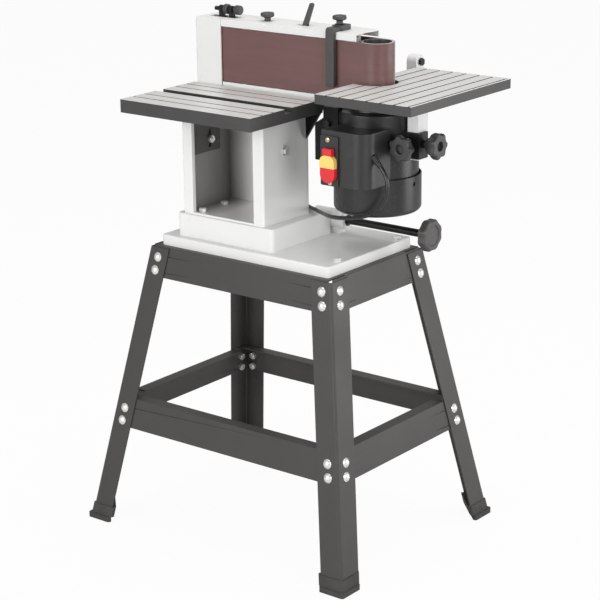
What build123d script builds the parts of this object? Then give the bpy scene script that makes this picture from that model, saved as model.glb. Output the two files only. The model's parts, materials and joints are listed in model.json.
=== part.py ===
"""Belt sander on a splayed sheet-metal stand: every piece as a named solid.

Millimetres, +Z up, +X along the sanding belt towards the drive drum, front at -Y.
Places in X are counted from the middle of the base casting. place() moves every
piece sideways so that the origin is on the floor under the middle of the whole machine.
"""
from build123d import *
from math import atan, cos, pi, radians, sin, sqrt, tan
import os

# Stand
sheet = 2.5
stand_out_x = 17.0
stand_out_y = 13.9
leg_top_z = 546.0
splay_x = 0.1705
splay_y = 0.1775
leg_front_width = 47.0
leg_side_width = 51.0
leg_bend = 5.0
stand_top = 549.0
rail_height = 59.0
rail_flange = 46.0
flange_gap = 3.0
brace_bottom = 192.0
brace_height = 58.0
brace_flange = 24.0
rail_end = 9.0
bolt_r = 4.0
bolt_head = 5.6
bolt_play = 0.1
bolt_pitch = 25.0
bolt_drop = 21.0
dome_r = 9.0
dome_height = 4.2
nut_flat = 13.0
nut_height = 6.5
boot_floor = 8.0
boot_height = 30.0
boot_tier = 10.0
boot_wall = 2.2
boot_step = 2.4
boot_leg = 62.0
boot_corner = 5.0

# Base casting and pedestal
base_length = 396.0
base_depth = 259.0
base_height = 20.0
base_corner = 7.0
base_edge = 2.5
cast_wall = 8.0
step_left = -170.0
step_right = 59.0
step_front = -114.0
step_rear = 66.0
step_height = 44.0
step_corner = 8.0
hollow_length = 330.0
hollow_depth = 196.0
base_bolt_inset = 14.0
base_bolt_front = -83.0
base_bolt_rear = 104.0
pedestal_left = -157.0
pedestal_right = 37.0
pedestal_front = -110.0
pedestal_rear = 26.0
pedestal_height = 187.0
pedestal_back_drop = 30.0
pedestal_lip = 24.0
pedestal_floor = 4.0
pedestal_corner = 4.0
floor_bolt_x = 66.0
floor_bolt_y = 31.6
floor_bolt_middle = -60.0

# Main table
table_left = -213.0
table_right = 94.0
table_front = -213.0
table_rear = -6.0
table_gap = 15.3
table_height = 24.7
table_skin = 10.0
table_skirt = 9.0
groove_width = 4.0
groove_depth = 2.0
main_grooves = 2
main_groove_first = 43.5
main_groove_pitch = 31.0
mitre_y = -106.0
mitre_width = 22.0
mitre_depth = 9.0
mitre_rib = 33.0
bracket_sheet = 5.0
bracket_front = -88.0
bracket_rear = -15.6
lock_bolt_y = -46.0
lock_bolt_rise = 132.0
bracket_slot = 35.0
bracket_slot_drop = 16.0
washer_r = 10.4
washer_thick = 2.0
slip = 0.3

# Tilt pivot
pivot_y = 81.0
pivot_lift = 25.0
barrel_r = 18.0
barrel_pad = 20.0
shaft_r = 11.0
running = 0.05
boss_left = 12.0
boss_right = 72.0
hub_length = 14.0
collar_r = 13.0
collar_width = 7.0
web_thick = 8.0
web_front = 56.0
web_rear = 112.0
web_neck = 17.0
tilt_flange_right = 124.0
lock_rod_r = 5.5
lock_rod_grip = 26.0
lock_rod_end = 274.0
lock_knob_left = 262.0
lock_knob_width = 18.0
lock_knob_r = 30.5
lock_knob_lobes = 8
hollow_reach = 1.42
hollow_size = 0.52

# Belt and drums
belt_width = 101.6
belt_length = 914.4
belt_thick = 1.2
drum_r = 30.0
drum_wall = 4.0
drive_x = 190.0
belt_y = 31.0
belt_lift = 8.0

# Arm housing
arm_plate = 6.0
arm_front = -3.5
arm_rear = 68.0
housing_sheet = 2.5
housing_inset = 24.9
housing_end = 23.0
cover_inset = 38.6
core_inset = 58.9
core_end = 50.0
top_cap = 14.5
core_front = 43.0
core_thick = 6.0
platen_thick = 6.6
platen_gap = 0.4
rib_thick = 8.0
rib_count = 4
drum_relief = 35.5
cap_relief = 26.0

# Idler carriage, tracking and tension
yoke_half = 10.0
yoke_arm = 6.0
yoke_lower_arm = 4.0
yoke_gap = 7.0
yoke_web = 7.0
yoke_cap = 2.0
idler_travel = 8.0
idler_axle_r = 7.0
bar_half = 7.0
bar_rise = 52.0
guide_play = 0.15
track_lift = 14.0
track_post_half = 4.0
track_wheel = 10.0
track_knob = 14.0
track_post = 24.0
track_screw_r = 4.0
track_wheel_r = 9.5
track_knob_r = 9.0
lever_from_idler = 184.3
lever_pivot_drop = 36.0
lever_arm = 30.0
lever_nose_r = 6.0
lever_lean = 21.6
lever_reach = 83.0
lever_width = 12.0
lever_tip = 7.5
lever_shank = 7.0
lever_thick = 6.0
lever_pin_r = 4.0
cover_knob_from_idler = 109.9

# Cover knob and work stop
star_knob_r = 13.0
star_knob_height = 9.0
star_stem_r = 6.0
star_stem = 7.0
stop_from_drive = 76.0
stop_width = 18.0
stop_thick = 7.6
stop_bend = 7.0
stop_block = 9.7
stop_block_width = 22.0
stop_bottom = 18.0
stop_travel = 12.0
stop_knob_y = 20.0
stop_washer = 1.2
stud_r = 3.0

# Motor
motor_r = 75.0
motor_bottom = 644.0
neck_r = 54.0
neck_height = 6.3
shell_round = 3.0
fan_cover_r = 80.0
fan_cover_height = 69.0
fan_cover_wall = 2.0
fan_cover_round = 9.0
cover_screw_r = 3.8
cover_screw_drop = 13.5
cover_screw_angle = 1.0
cover_screws = 3
lug_half = 8.0
bell_r = 66.0
motor_shaft_r = 7.0
shaft_top = 64.0
drum_web_rise = 30.0
drum_web = 8.0
drum_hub_r = 16.0
fan_r = 58.0
fan_blades = 8

# Switch
box_left = 153.0
box_right = 250.0
box_front = -88.0
box_rise = 63.0
box_height = 100.0
box_corner = 28.0
plate_width = 39.0
plate_top_gap = 9.5
plate_thick = 3.0
paddle_left = 157.5
paddle_width = 32.0
paddle_height = 61.8
paddle_depth = 9.0
paddle_drop = 31.5
paddle_back = 4.0
paddle_stem = 20.0
paddle_hinge = 3.0
key_drop = 12.1
key_height = 22.9
key_round = 12.0
mount_left = 101.0
mount_thick = 4.0
mount_drop = 100.0
mount_neck = 120.0
mount_shoulder = 33.0
mount_notch = 21.0
carrier_bolt_drop = 31.0
gusset_left = 40.0
gusset_right = 91.0
gusset_drop = 79.0
gusset_front = 12.0
gusset_thick = 6.0

# End table and its post
end_left = 163.0
end_right = 367.5
end_front = -120.0
end_rear = 194.0
end_height = 17.5
end_rise = 10.5
end_skin = 9.0
end_skirt = 8.0
end_grooves = 7
end_groove_first = 25.0
end_groove_last = 6.0
notch_r = 38.0
post_left = 131.0
post_width = 22.0
post_front = 206.0
post_depth = 27.0
post_rise = 59.0
post_beam = 24.0
beam_front = 98.0
ear_rear = 128.0
beam_bolt_inset = 9.0
beam_bolt_pitch = 13.0
bar_left = 267.5
bar_width = 23.0
bar_front = 14.0
bar_depth = 30.0
bar_drop = 88.0
bar_boss = 6.0
clamp_drop = 84.0
clamp_height = 47.0
clamp_wall = 6.0
clamp_reach = 28.0
front_knob_z = -61.0
side_knob_y = 22.0
side_knob_z = -58.0
hand_knob_r = 24.5
hand_knob_stem = 9.0
hand_knob_hub = 15.0
hand_knob_disc = 12.0
hand_knob_recess = 8.5
hand_knob_lobes = 7

# Cord
cord_r = 3.75
gland_length = 14.0
gland_y = -62.0
gland_drop = 45.4
gland_dip = 45.0
coil_turns = 5
coil_r = 39.5
coil_x = -120.0
coil_y = 120.5
coil_gap = 0.5
coil_lead = 7.5
coil_approach = 14.0
coil_tail = 20.0
plug_length = 46.0
plug_half_y = 12.5
plug_half_z = 8.0
plug_neck = 16.0
blade_length = 16.0
blade_gap = 12.7

# Levels and places worked out from the sizes above
leg_top_x = base_length / 2 + stand_out_x
leg_top_y = base_depth / 2 + stand_out_y
base_bolt_x = base_length / 2 - base_bolt_inset
base_top = stand_top + base_height
step_top = base_top + step_height
pedestal_top = step_top + pedestal_height
table_bottom = pedestal_top + table_gap
table_top = table_bottom + table_height
pivot_z = base_top + pivot_lift
hub_left = boss_right + 0.4
hub_right = hub_left + hub_length
belt_z = table_top + belt_lift
belt_top = belt_z + belt_width
loop_r = drum_r + running
drum_centres = (belt_length - 2 * pi * (loop_r + belt_thick / 2)) / 2
idler_x = drive_x - drum_centres
cover_left = idler_x - cover_inset
housing_left = idler_x + housing_inset
housing_right = drive_x - housing_end
core_left = idler_x + core_inset
core_right = drive_x - core_end
lever_x = idler_x + lever_from_idler
cover_knob_x = idler_x + cover_knob_from_idler
stop_x = drive_x - stop_from_drive
arm_top = belt_z - arm_plate
arm_bottom = arm_top - arm_plate
cap_top = belt_top + top_cap
cap_under = cap_top - housing_sheet
neck_bottom = arm_bottom - neck_height
motor_top = neck_bottom
cover_top = motor_bottom + fan_cover_height
box_bottom = motor_bottom + box_rise
box_top = box_bottom + box_height
paddle_top = box_top - paddle_drop
end_bottom = belt_z + end_rise
end_top = end_bottom + end_height
end_under = end_top - end_skin
post_right = post_left + post_width
post_top = arm_bottom + post_rise
bar_right = bar_left + bar_width
bar_rear = bar_front + bar_depth
bar_bottom = arm_bottom - bar_drop
clamp_bottom = arm_bottom - clamp_drop
clamp_top = clamp_bottom + clamp_height
lock_bolt_z = step_top + lock_bolt_rise
boot_x = leg_top_x + leg_top_z * splay_x + boot_wall + boot_step
boot_y = leg_top_y + leg_top_z * splay_y + boot_wall + boot_step
shift_x = -(end_right - boot_x) / 2


def block(x0, x1, y0, y1, z0, z1):
    """A box between two corners."""
    return Pos((x0 + x1) / 2, (y0 + y1) / 2, (z0 + z1) / 2) * Box(x1 - x0, y1 - y0, z1 - z0)


def rod_x(x0, x1, y, z, r):
    return Pos((x0 + x1) / 2, y, z) * Rot(0, 90, 0) * Cylinder(r, x1 - x0)


def rod_y(x, y0, y1, z, r):
    return Pos(x, (y0 + y1) / 2, z) * Rot(90, 0, 0) * Cylinder(r, y1 - y0)


def rod_z(x, y, z0, z1, r):
    return Pos(x, y, (z0 + z1) / 2) * Cylinder(r, z1 - z0)


def plate_xz(points, y0, y1):
    """A flat plate with an outline in X and Z, between two places in Y."""
    face = make_face(Polyline(*[(x, y0, z) for x, z in points], close=True))
    return extrude(face, amount=y1 - y0, dir=(0, 1, 0))


def plate_yz(points, x0, x1):
    """A flat plate with an outline in Y and Z, between two places in X."""
    face = make_face(Polyline(*[(x0, y, z) for y, z in points], close=True))
    return extrude(face, amount=x1 - x0, dir=(1, 0, 0))


def lobed(r, lobes, width):
    """A hand knob along +Z: a disc with a ring of shallow round finger hollows."""
    hollows = PolarLocations(r * hollow_reach, lobes) * Circle(r * hollow_size)
    return extrude(Circle(r) - hollows, amount=width)


def hex_bolt(r, flat, head, shank):
    """A hex bolt along -Z with its head standing on the local XY plane."""
    hexagon = extrude(RegularPolygon(flat / 2, 6, major_radius=False), amount=head)
    return hexagon + rod_z(0, 0, -shank, 0, r)


def place(name, shape):
    """Move a finished piece into the shared frame and write its file."""
    export_step(Pos(shift_x, 0, 0) * shape, f"parts/{name}.step")


def corner_x(z):
    return leg_top_x + (leg_top_z - z) * splay_x


def corner_y(z):
    return leg_top_y + (leg_top_z - z) * splay_y


def slanted(z0, z1, rectangle):
    """A straight-sided solid between two level rectangles, each given as x0, x1, y0, y1."""
    faces = []
    for z in (z0, z1):
        x0, x1, y0, y1 = rectangle(z)
        flat = Pos((x0 + x1) / 2, (y0 + y1) / 2, z) * Rectangle(x1 - x0, y1 - y0)
        faces.append(flat)
    return loft(faces, ruled=True)


def frustum(depth, z0, z1):
    """The stand's splayed outside, drawn in by a depth measured square to the sheet."""
    inset_x = depth / cos(atan(splay_x))
    inset_y = depth / cos(atan(splay_y))

    def rectangle(z):
        x = corner_x(z) - inset_x
        y = corner_y(z) - inset_y
        return -x, x, -y, y

    return slanted(z0, z1, rectangle)


def rounded_frustum(depth, z0, z1, r):
    solid = frustum(depth, z0, z1)
    upright = solid.edges().filter_by(lambda e: abs((e @ 1 - e @ 0).Z) > 1)
    return fillet(upright, r)


# Stand bolts: a pair through each leg face at the rail and at the brace
def bolt_planes(side_x, side_y, level):
    """Planes of the bolts of one leg at one level, first the front or back face, then the side."""
    planes = []
    for step in (0, 1):
        z = level - bolt_drop - step * bolt_pitch
        face_x = side_x * (corner_x(z) - leg_front_width / 2)
        out_y = (0, side_y * cos(atan(splay_y)), sin(atan(splay_y)))
        planes.append(("y", Plane(origin=(face_x, side_y * corner_y(z), z), z_dir=out_y)))
        face_y = side_y * (corner_y(z) - leg_side_width / 2)
        out_x = (side_x * cos(atan(splay_x)), 0, sin(atan(splay_x)))
        planes.append(("x", Plane(origin=(side_x * corner_x(z), face_y, z), z_dir=out_x)))
    return planes


def carriage_bolt():
    """A domed bolt along -Z whose head stands on the local XY plane."""
    ball_r = (dome_r ** 2 + dome_height ** 2) / (2 * dome_height)
    ball = Pos(0, 0, dome_height - ball_r) * Sphere(ball_r)
    dome = ball & rod_z(0, 0, 0, 2 * dome_height, 2 * dome_r)
    return dome + rod_z(0, 0, -(2 * sheet + nut_height + 2), 0, bolt_r)


def stand_nut():
    ring = RegularPolygon(nut_flat / 2, 6, major_radius=False) - Circle(bolt_r)
    return Pos(0, 0, -(2 * sheet + nut_height)) * extrude(ring, amount=nut_height)


rail_level = stand_top
brace_level = brace_bottom + brace_height
bolt_hole = Cylinder(bolt_r + bolt_play, 8 * sheet)
sides = [("front_left", -1, -1), ("front_right", 1, -1), ("rear_left", -1, 1), ("rear_right", 1, 1)]


def stand_legs():
    """Four bent angle legs with their bolt holes, and the rubber boots they stand in."""
    sheet_wall = rounded_frustum(0, boot_floor, leg_top_z, leg_bend)
    sheet_wall -= rounded_frustum(sheet, boot_floor, leg_top_z, leg_bend - sheet)
    legs = {}
    boots = []
    for name, sx, sy in sides:
        def corner(z):
            xs = sorted((sx * (corner_x(z) - leg_front_width), sx * (corner_x(z) + leg_bend)))
            ys = sorted((sy * (corner_y(z) - leg_side_width), sy * (corner_y(z) + leg_bend)))
            return xs[0], xs[1], ys[0], ys[1]

        leg = sheet_wall & slanted(boot_floor, leg_top_z, corner)
        boots.append(rubber_boot(sx, sy) - leg)
        for level in (rail_level, brace_level):
            for _, plane in bolt_planes(sx, sy, level):
                leg -= plane * bolt_hole
        legs[name] = leg
    return legs, boots


def boot_outline(sx, sy, x, y, z):
    """The three-cornered plan of a boot, with its square corner at the leg's outer corner."""
    corners = [(sx * x, sy * y), (sx * (x - boot_leg), sy * y), (sx * x, sy * (y - boot_leg))]
    triangle = make_face(Polyline(*corners, close=True))
    return Pos(0, 0, z) * fillet(triangle.vertices(), boot_corner)


def rubber_boot(sx, sy):
    """A boot in two tiers: a wide tread and a sleeve that leans with the leg."""
    tread = extrude(boot_outline(sx, sy, boot_x, boot_y, 0), amount=boot_tier)
    rings = []
    for z in (boot_tier, boot_height):
        rings.append(boot_outline(sx, sy, corner_x(z) + boot_wall, corner_y(z) + boot_wall, z))
    return tread + loft(rings, ruled=True)


def stand_bar(along, side, z0, z1, flange):
    """A rail or brace: a strip just inside the leg faces with a flange turned in at its top."""
    strip = frustum(sheet, z0, z1) - frustum(2 * sheet, z0 - 1, z1 + 1)
    depth = 4 * sheet
    inner = sheet / cos(atan(splay_x if along == "y" else splay_y))

    def reach(z):
        if along == "x":
            y = corner_y(z)
            ends = corner_x(z) - rail_end
            ys = sorted((side * (y - depth), side * y))
            return -ends, ends, ys[0], ys[1]
        x = corner_x(z)
        ends = corner_y(z) - rail_end
        xs = sorted((side * (x - depth), side * x))
        return xs[0], xs[1], -ends, ends

    bar = strip & slanted(z0, z1, reach)
    if along == "x":
        outer = corner_y(z1) - inner
        ys = sorted((side * outer, side * (outer - flange)))
        ends = corner_x(z1) - rail_end
        bar += block(-ends, ends, ys[0], ys[1], z1 - sheet, z1)
    else:
        outer = corner_x(z1) - inner
        xs = sorted((side * outer, side * (outer - flange)))
        ends = corner_y(z1) - rail_flange - flange_gap
        bar += block(xs[0], xs[1], -ends, ends, z1 - sheet, z1)
    for _, sx, sy in sides:
        for face, plane in bolt_planes(sx, sy, z1):
            on_front = face == "y" and along == "x" and sy == side
            on_side = face == "x" and along == "y" and sx == side
            if on_front or on_side:
                bar -= plane * bolt_hole
    return bar


def base_bolt_spots():
    ends = {-1: base_bolt_front, 1: base_bolt_rear}
    return [(sx * base_bolt_x, ends[sy]) for _, sx, sy in sides]


def stand():
    legs, boots = stand_legs()
    for name, leg in legs.items():
        place(f"leg_{name}", leg)
    place("rubber_feet", Compound(boots))
    bars = [("front", "x", -1), ("rear", "x", 1), ("left", "y", -1), ("right", "y", 1)]
    for name, along, side in bars:
        rail = stand_bar(along, side, stand_top - rail_height, stand_top, rail_flange)
        for x, y in base_bolt_spots():
            rail -= rod_z(x, y, stand_top - 2 * sheet, stand_top + 1, bolt_r + bolt_play)
        place(f"top_rail_{name}", rail)
        brace = stand_bar(along, side, brace_bottom, brace_bottom + brace_height, brace_flange)
        place(f"brace_{name}", brace)
    bolt = carriage_bolt()
    nut = stand_nut()
    bolts = []
    nuts = []
    for _, sx, sy in sides:
        for level in (rail_level, brace_level):
            for _, plane in bolt_planes(sx, sy, level):
                bolts.append(plane * bolt)
                nuts.append(plane * nut)
    place("stand_bolts", Compound(bolts))
    place("stand_nuts", Compound(nuts))


def base_casting():
    """A thick-rimmed plate with a raised hollow step and the barrel that holds the tilt shaft."""
    plan = RectangleRounded(base_length, base_depth, base_corner)
    plate = Pos(0, 0, stand_top) * extrude(plan, amount=base_height)
    plate = fillet(plate.faces().sort_by(Axis.Z)[-1].edges(), base_edge)
    step_x = (step_left + step_right) / 2
    step_y = (step_front + step_rear) / 2
    step_plan = RectangleRounded(step_right - step_left, step_rear - step_front, step_corner)
    step = Pos(step_x, step_y, base_top) * extrude(step_plan, amount=step_height)
    step = fillet(step.faces().sort_by(Axis.Z)[-1].edges(), base_edge)
    body = plate + step
    body += rod_x(boss_left, boss_right, pivot_y, pivot_z, barrel_r)
    pad_front = pivot_y - barrel_pad / 2
    body += block(boss_left, boss_right, pad_front, pad_front + barrel_pad, base_top - 1, pivot_z)
    ceiling = base_top - cast_wall
    body -= block(-hollow_length / 2, hollow_length / 2, -hollow_depth / 2, hollow_depth / 2,
                  stand_top, ceiling)
    well_front = -hollow_depth / 2
    well = block(step_left + cast_wall, step_right - cast_wall, well_front, step_rear - cast_wall,
                 stand_top, step_top - cast_wall)
    body -= well
    body -= rod_x(boss_left - 1, boss_right + 1, pivot_y, pivot_z, shaft_r + running)
    for x, y in base_bolt_spots():
        body -= rod_z(x, y, stand_top - 1, base_top + 1, bolt_r + bolt_play)
    for x, y in floor_bolt_spots():
        body -= rod_z(x, y, step_top - 2 * cast_wall, step_top + 1, bolt_r + bolt_play)
    return body


def floor_bolt_spots():
    middle_x = (pedestal_left + pedestal_right) / 2
    return [(middle_x + sx * floor_bolt_x, floor_bolt_middle + sy * floor_bolt_y) for _, sx, sy in sides]


def pedestal():
    """A channel casting open to the front, with turned-in front lips and a low back."""
    outer = block(pedestal_left, pedestal_right, pedestal_front, pedestal_rear, step_top, pedestal_top)
    uprights = outer.edges().filter_by(Axis.Z)
    outer = fillet(uprights, pedestal_corner)
    inside_left = pedestal_left + cast_wall
    inside_right = pedestal_right - cast_wall
    inside_front = pedestal_front + cast_wall
    inside_rear = pedestal_rear - cast_wall
    floor = step_top + pedestal_floor
    over = pedestal_top + 1
    body = outer - block(inside_left, inside_right, inside_front, inside_rear, floor, over)
    mouth_left = pedestal_left + pedestal_lip
    mouth_right = pedestal_right - pedestal_lip
    body -= block(mouth_left, mouth_right, pedestal_front - 1, inside_front + 1, floor, over)
    back_top = pedestal_top - pedestal_back_drop
    body -= block(inside_left, inside_right, inside_rear - 1, pedestal_rear + 1, back_top, over)
    body -= rod_x(pedestal_left - 1, pedestal_right + 1, lock_bolt_y, lock_bolt_z, bolt_r + bolt_play)
    for x, y in floor_bolt_spots():
        body -= rod_z(x, y, step_top - 1, floor + 1, bolt_r + bolt_play)
    return body


def base_bolts():
    """Hex bolts that hold the base to the stand and the pedestal to the base."""
    long_bolt = hex_bolt(bolt_r, nut_flat, bolt_head, base_height + 2 * sheet)
    short_bolt = hex_bolt(bolt_r, nut_flat, bolt_head, pedestal_floor + cast_wall - 1)
    bolts = [Pos(x, y, base_top) * long_bolt for x, y in base_bolt_spots()]
    bolts += [Pos(x, y, step_top + pedestal_floor) * short_bolt for x, y in floor_bolt_spots()]
    return Compound(bolts)


def hollow_table(x0, x1, y0, y1, z0, z1, skin, skirt):
    """A table casting: a thick skin with a skirt all round and a hollow underside."""
    table = block(x0, x1, y0, y1, z0, z1)
    return table - block(x0 + skirt, x1 - skirt, y0 + skirt, y1 - skirt, z0 - 1, z1 - skin)


def main_table():
    """The work table: a hollow casting with fine grooves and one wide slot for a mitre bar."""
    x0, x1, y0, y1 = table_left, table_right, table_front, table_rear
    table = hollow_table(x0, x1, y0, y1, table_bottom, table_top, table_skin, table_skirt)
    rib_bottom = table_top - table_skin - mitre_depth
    table += block(x0, x1, mitre_y - mitre_rib / 2, mitre_y + mitre_rib / 2, rib_bottom, table_top - 1)
    slot_floor = table_top - mitre_depth
    slot_front = mitre_y - mitre_width / 2
    table -= block(x0 - 1, x1 + 1, slot_front, slot_front + mitre_width, slot_floor, table_top + 1)
    for side in (-1, 1):
        for i in range(main_grooves):
            y = mitre_y + side * (main_groove_first + i * main_groove_pitch) - groove_width / 2
            table -= block(x0 - 1, x1 + 1, y, y + groove_width, table_top - groove_depth, table_top + 1)
    return table


def table_bracket():
    """A folded bracket inside the pedestal whose slotted cheeks are clamped by the lock bolts."""
    left = pedestal_left + cast_wall + slip
    right = pedestal_right - cast_wall - slip
    y0 = bracket_front
    y1 = bracket_rear
    top = table_top - table_skin
    slot_bottom = lock_bolt_z - bracket_slot_drop
    slot_top = slot_bottom + bracket_slot
    low = slot_bottom - 2 * bolt_r
    bracket = block(left, right, y0, y1, top - bracket_sheet, top)
    bracket += block(left, left + bracket_sheet, y0, y1, low, top)
    bracket += block(right - bracket_sheet, right, y0, y1, low, top)
    half = bolt_r + slip
    ends = (slot_bottom + half, slot_top - half)
    bracket -= block(left - 1, right + 1, lock_bolt_y - half, lock_bolt_y + half, ends[0], ends[1])
    for z in ends:
        bracket -= rod_x(left - 1, right + 1, lock_bolt_y, z, half)
    return bracket


def table_lock_bolts():
    """A hex bolt with a washer and a nut through each pedestal wall and the table's bracket."""
    grip = cast_wall + bracket_sheet + 2 * slip
    shank = washer_thick + grip + nut_height + 3
    bolt = Pos(0, 0, washer_thick) * hex_bolt(bolt_r, nut_flat, bolt_head, shank)
    bolt += extrude(Circle(washer_r), amount=washer_thick)
    nut = extrude(RegularPolygon(nut_flat / 2, 6, major_radius=False), amount=nut_height)
    bolt += Pos(0, 0, -grip - nut_height) * nut
    right = Plane(origin=(pedestal_right, lock_bolt_y, lock_bolt_z), z_dir=(1, 0, 0)) * bolt
    left = Plane(origin=(pedestal_left, lock_bolt_y, lock_bolt_z), z_dir=(-1, 0, 0)) * bolt
    return Compound([right, left])


def pivot_shaft():
    """The tilt shaft: pinned in the arm's hub, turning in the base barrel, kept by a collar."""
    collar_right = boss_left - slip
    shaft = rod_x(collar_right - collar_width, hub_right, pivot_y, pivot_z, shaft_r)
    shaft += rod_x(collar_right - collar_width, collar_right, pivot_y, pivot_z, collar_r)
    return shaft - rod_x(hub_right - lock_rod_grip, hub_right + 1, pivot_y, pivot_z, lock_rod_r + running)


def tilt_bracket():
    """The arm's lower casting: a hub on the shaft, an upright web and a top flange."""
    web_left = hub_left + 0.6
    outline = [
        (pivot_y - web_neck, pivot_z),
        (pivot_y + web_neck, pivot_z),
        (pivot_y + web_neck, pivot_z + 56),
        (web_rear, pivot_z + 106),
        (web_rear, arm_bottom),
        (web_front, arm_bottom),
        (web_front, pivot_z + 40),
    ]
    body = plate_yz(outline, web_left, web_left + web_thick)
    body += rod_x(hub_left, hub_right, pivot_y, pivot_z, barrel_r)
    body += block(web_left, tilt_flange_right, web_front, web_rear, arm_bottom - arm_plate, arm_bottom)
    rib = [(web_left, pivot_z + 130), (web_left, arm_bottom), (tilt_flange_right, arm_bottom)]
    body += plate_xz(rib, web_rear - web_thick, web_rear)
    return body - rod_x(hub_left - 1, hub_right + 1, pivot_y, pivot_z, shaft_r)


def lock_rod():
    return rod_x(hub_right - lock_rod_grip + 1, lock_rod_end, pivot_y, pivot_z, lock_rod_r)


def lock_knob():
    """The big lobed knob on the lock rod, with a shallow round recess in its face."""
    knob = lobed(lock_knob_r, lock_knob_lobes, lock_knob_width)
    knob = chamfer(knob.faces().sort_by(Axis.Z)[-1].edges(), 2)
    knob -= Pos(0, 0, lock_knob_width - 2.5) * extrude(Circle(lock_knob_r * 0.6), amount=5)
    knob -= extrude(Circle(lock_rod_r), amount=lock_rod_end - lock_knob_left)
    return Plane(origin=(lock_knob_left, pivot_y, pivot_z), z_dir=(1, 0, 0)) * knob


def arm_frame():
    """The arm's backbone: bottom plate, core plate, guide ribs, front lip and post ear."""
    body = block(housing_left + 2, drive_x, arm_front, arm_rear, arm_bottom, arm_top)
    tongue = cover_left + 2 * housing_sheet
    body += block(tongue, housing_left + 3, arm_front + 5, arm_rear - 5, arm_bottom, arm_top)
    body += rod_z(drive_x, belt_y, arm_bottom, arm_top, belt_y - arm_front)
    body += block(hub_left, post_right + 2, arm_rear - 1, web_rear, arm_bottom, arm_top)
    body += block(post_left - 2, post_right + 2, web_rear - 1, ear_rear, arm_bottom, arm_top)
    lip_top = belt_z - 1
    lip_right = drive_x - drum_relief
    body += block(housing_left + 2, lip_right, arm_front, arm_front + housing_sheet, arm_bottom, lip_top)
    body += block(core_left, core_right, core_front, core_front + core_thick, arm_top - 1, cap_under)
    for x in guide_ribs():
        body += block(x, x + rib_thick, platen_rear(), core_front + 1, arm_top - 1, belt_top)
    z = belt_z + bar_rise
    gap = bar_half + guide_play
    body -= block(core_left - 1, core_right + 1, belt_y - gap, belt_y + gap, z - gap, z + gap)
    body -= rod_z(drive_x, belt_y, arm_bottom - 1, arm_top + 1, drum_hub_r)
    pin_z = cap_top - lever_pivot_drop
    body += rod_y(lever_x, belt_y + lever_thick / 2 + 1, core_front + 1, pin_z, lever_pin_r + 3)
    body -= rod_y(lever_x, belt_y, core_front, pin_z, lever_pin_r + running)
    return body


def guide_ribs():
    """Left faces of the ribs that carry the platen and guide the idler's bar."""
    first = core_left + rib_thick
    last = core_right - rib_thick
    return [first + (last - first) * i / (rib_count - 1) for i in range(rib_count)]


def platen_rear():
    return belt_y - loop_r + platen_gap + platen_thick


def platen():
    y0 = belt_y - loop_r + platen_gap
    return block(core_left - 8, core_right, y0, platen_rear(), belt_z + 1, belt_top - 1)


def top_plate():
    """The folded cover over the belt, with its drum cut-out and the slots for the controls."""
    cover = block(housing_left, housing_right, arm_front, arm_rear, belt_top + 1.5, cap_top)
    inside_front = arm_front + housing_sheet
    inside_rear = arm_rear - housing_sheet
    cover -= block(housing_left - 1, housing_right + 1, inside_front, inside_rear, belt_top, cap_under)
    cover -= rod_z(drive_x, belt_y, belt_top, cap_top + 1, cap_relief)
    low = cap_under - 1
    high = cap_top + 1
    cover -= block(housing_left - 1, track_slot_right(), belt_y - yoke_half, belt_y + yoke_half, low, high)
    slot_left = lever_x - lever_width / 3
    slot_right = lever_x + 2 * lever_width
    cover -= block(slot_left, slot_right, belt_y - lever_thick, belt_y + lever_thick, low, high)
    cover -= rod_z(cover_knob_x, belt_y, low, high, stud_r + running)
    cover -= rod_z(stop_x, stop_knob_y, low, high, stud_r + running)
    return cover


def track_slot_right():
    return idler_x + track_post + track_post_half + idler_travel + 2


def end_cover():
    """The left end cover: a folded box open towards the belt, slotted for the tracking screw."""
    y0 = arm_front - 1
    y1 = arm_rear + 1
    cover = block(cover_left, housing_left - slip, y0, y1, arm_bottom, cap_top)
    upright = cover.edges().filter_by(Axis.Z).sort_by(Axis.X)[:2]
    cover = fillet(upright, 6)
    x0 = cover_left + housing_sheet
    cover -= block(x0, housing_left, y0 + housing_sheet, y1 - housing_sheet, arm_bottom - 1, cap_under)
    slot_left = idler_x - 24
    slot_front = belt_y - yoke_half
    cover -= block(slot_left, housing_left, slot_front, belt_y + yoke_half, cap_under - 1, cap_top + 1)
    return cover


def end_cover_tabs():
    """Two tabs that carry the end cover on the arm's tongue."""
    y_front = arm_front - 1 + housing_sheet
    y_rear = arm_rear + 1 - housing_sheet
    tabs = block(idler_x, housing_left - slip, y_front, arm_front + 5, arm_bottom, arm_top)
    return tabs + block(idler_x, housing_left - slip, arm_rear - 5, y_rear, arm_bottom, arm_top)


def sanding_belt():
    """The endless belt: a closed loop round both drums."""
    outer = belt_outline(loop_r + belt_thick)
    ring = outer - belt_outline(loop_r)
    return Pos((idler_x + drive_x) / 2, belt_y, belt_z) * extrude(ring, amount=belt_width)


def belt_outline(r):
    return SlotCenterToCenter(drum_centres, 2 * r)


def drive_drum():
    """The open-topped drum on the motor shaft, with a web and hub low inside it."""
    drum = rod_z(drive_x, belt_y, belt_z, belt_top, drum_r)
    drum -= rod_z(drive_x, belt_y, belt_z - 1, belt_top + 1, drum_r - drum_wall)
    web = belt_z + drum_web_rise
    drum += rod_z(drive_x, belt_y, web, web + drum_web, drum_r - drum_wall / 2)
    drum += rod_z(drive_x, belt_y, web - 12, web + drum_web + 14, drum_hub_r)
    return drum - rod_z(drive_x, belt_y, belt_z, belt_top, motor_shaft_r)


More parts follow.
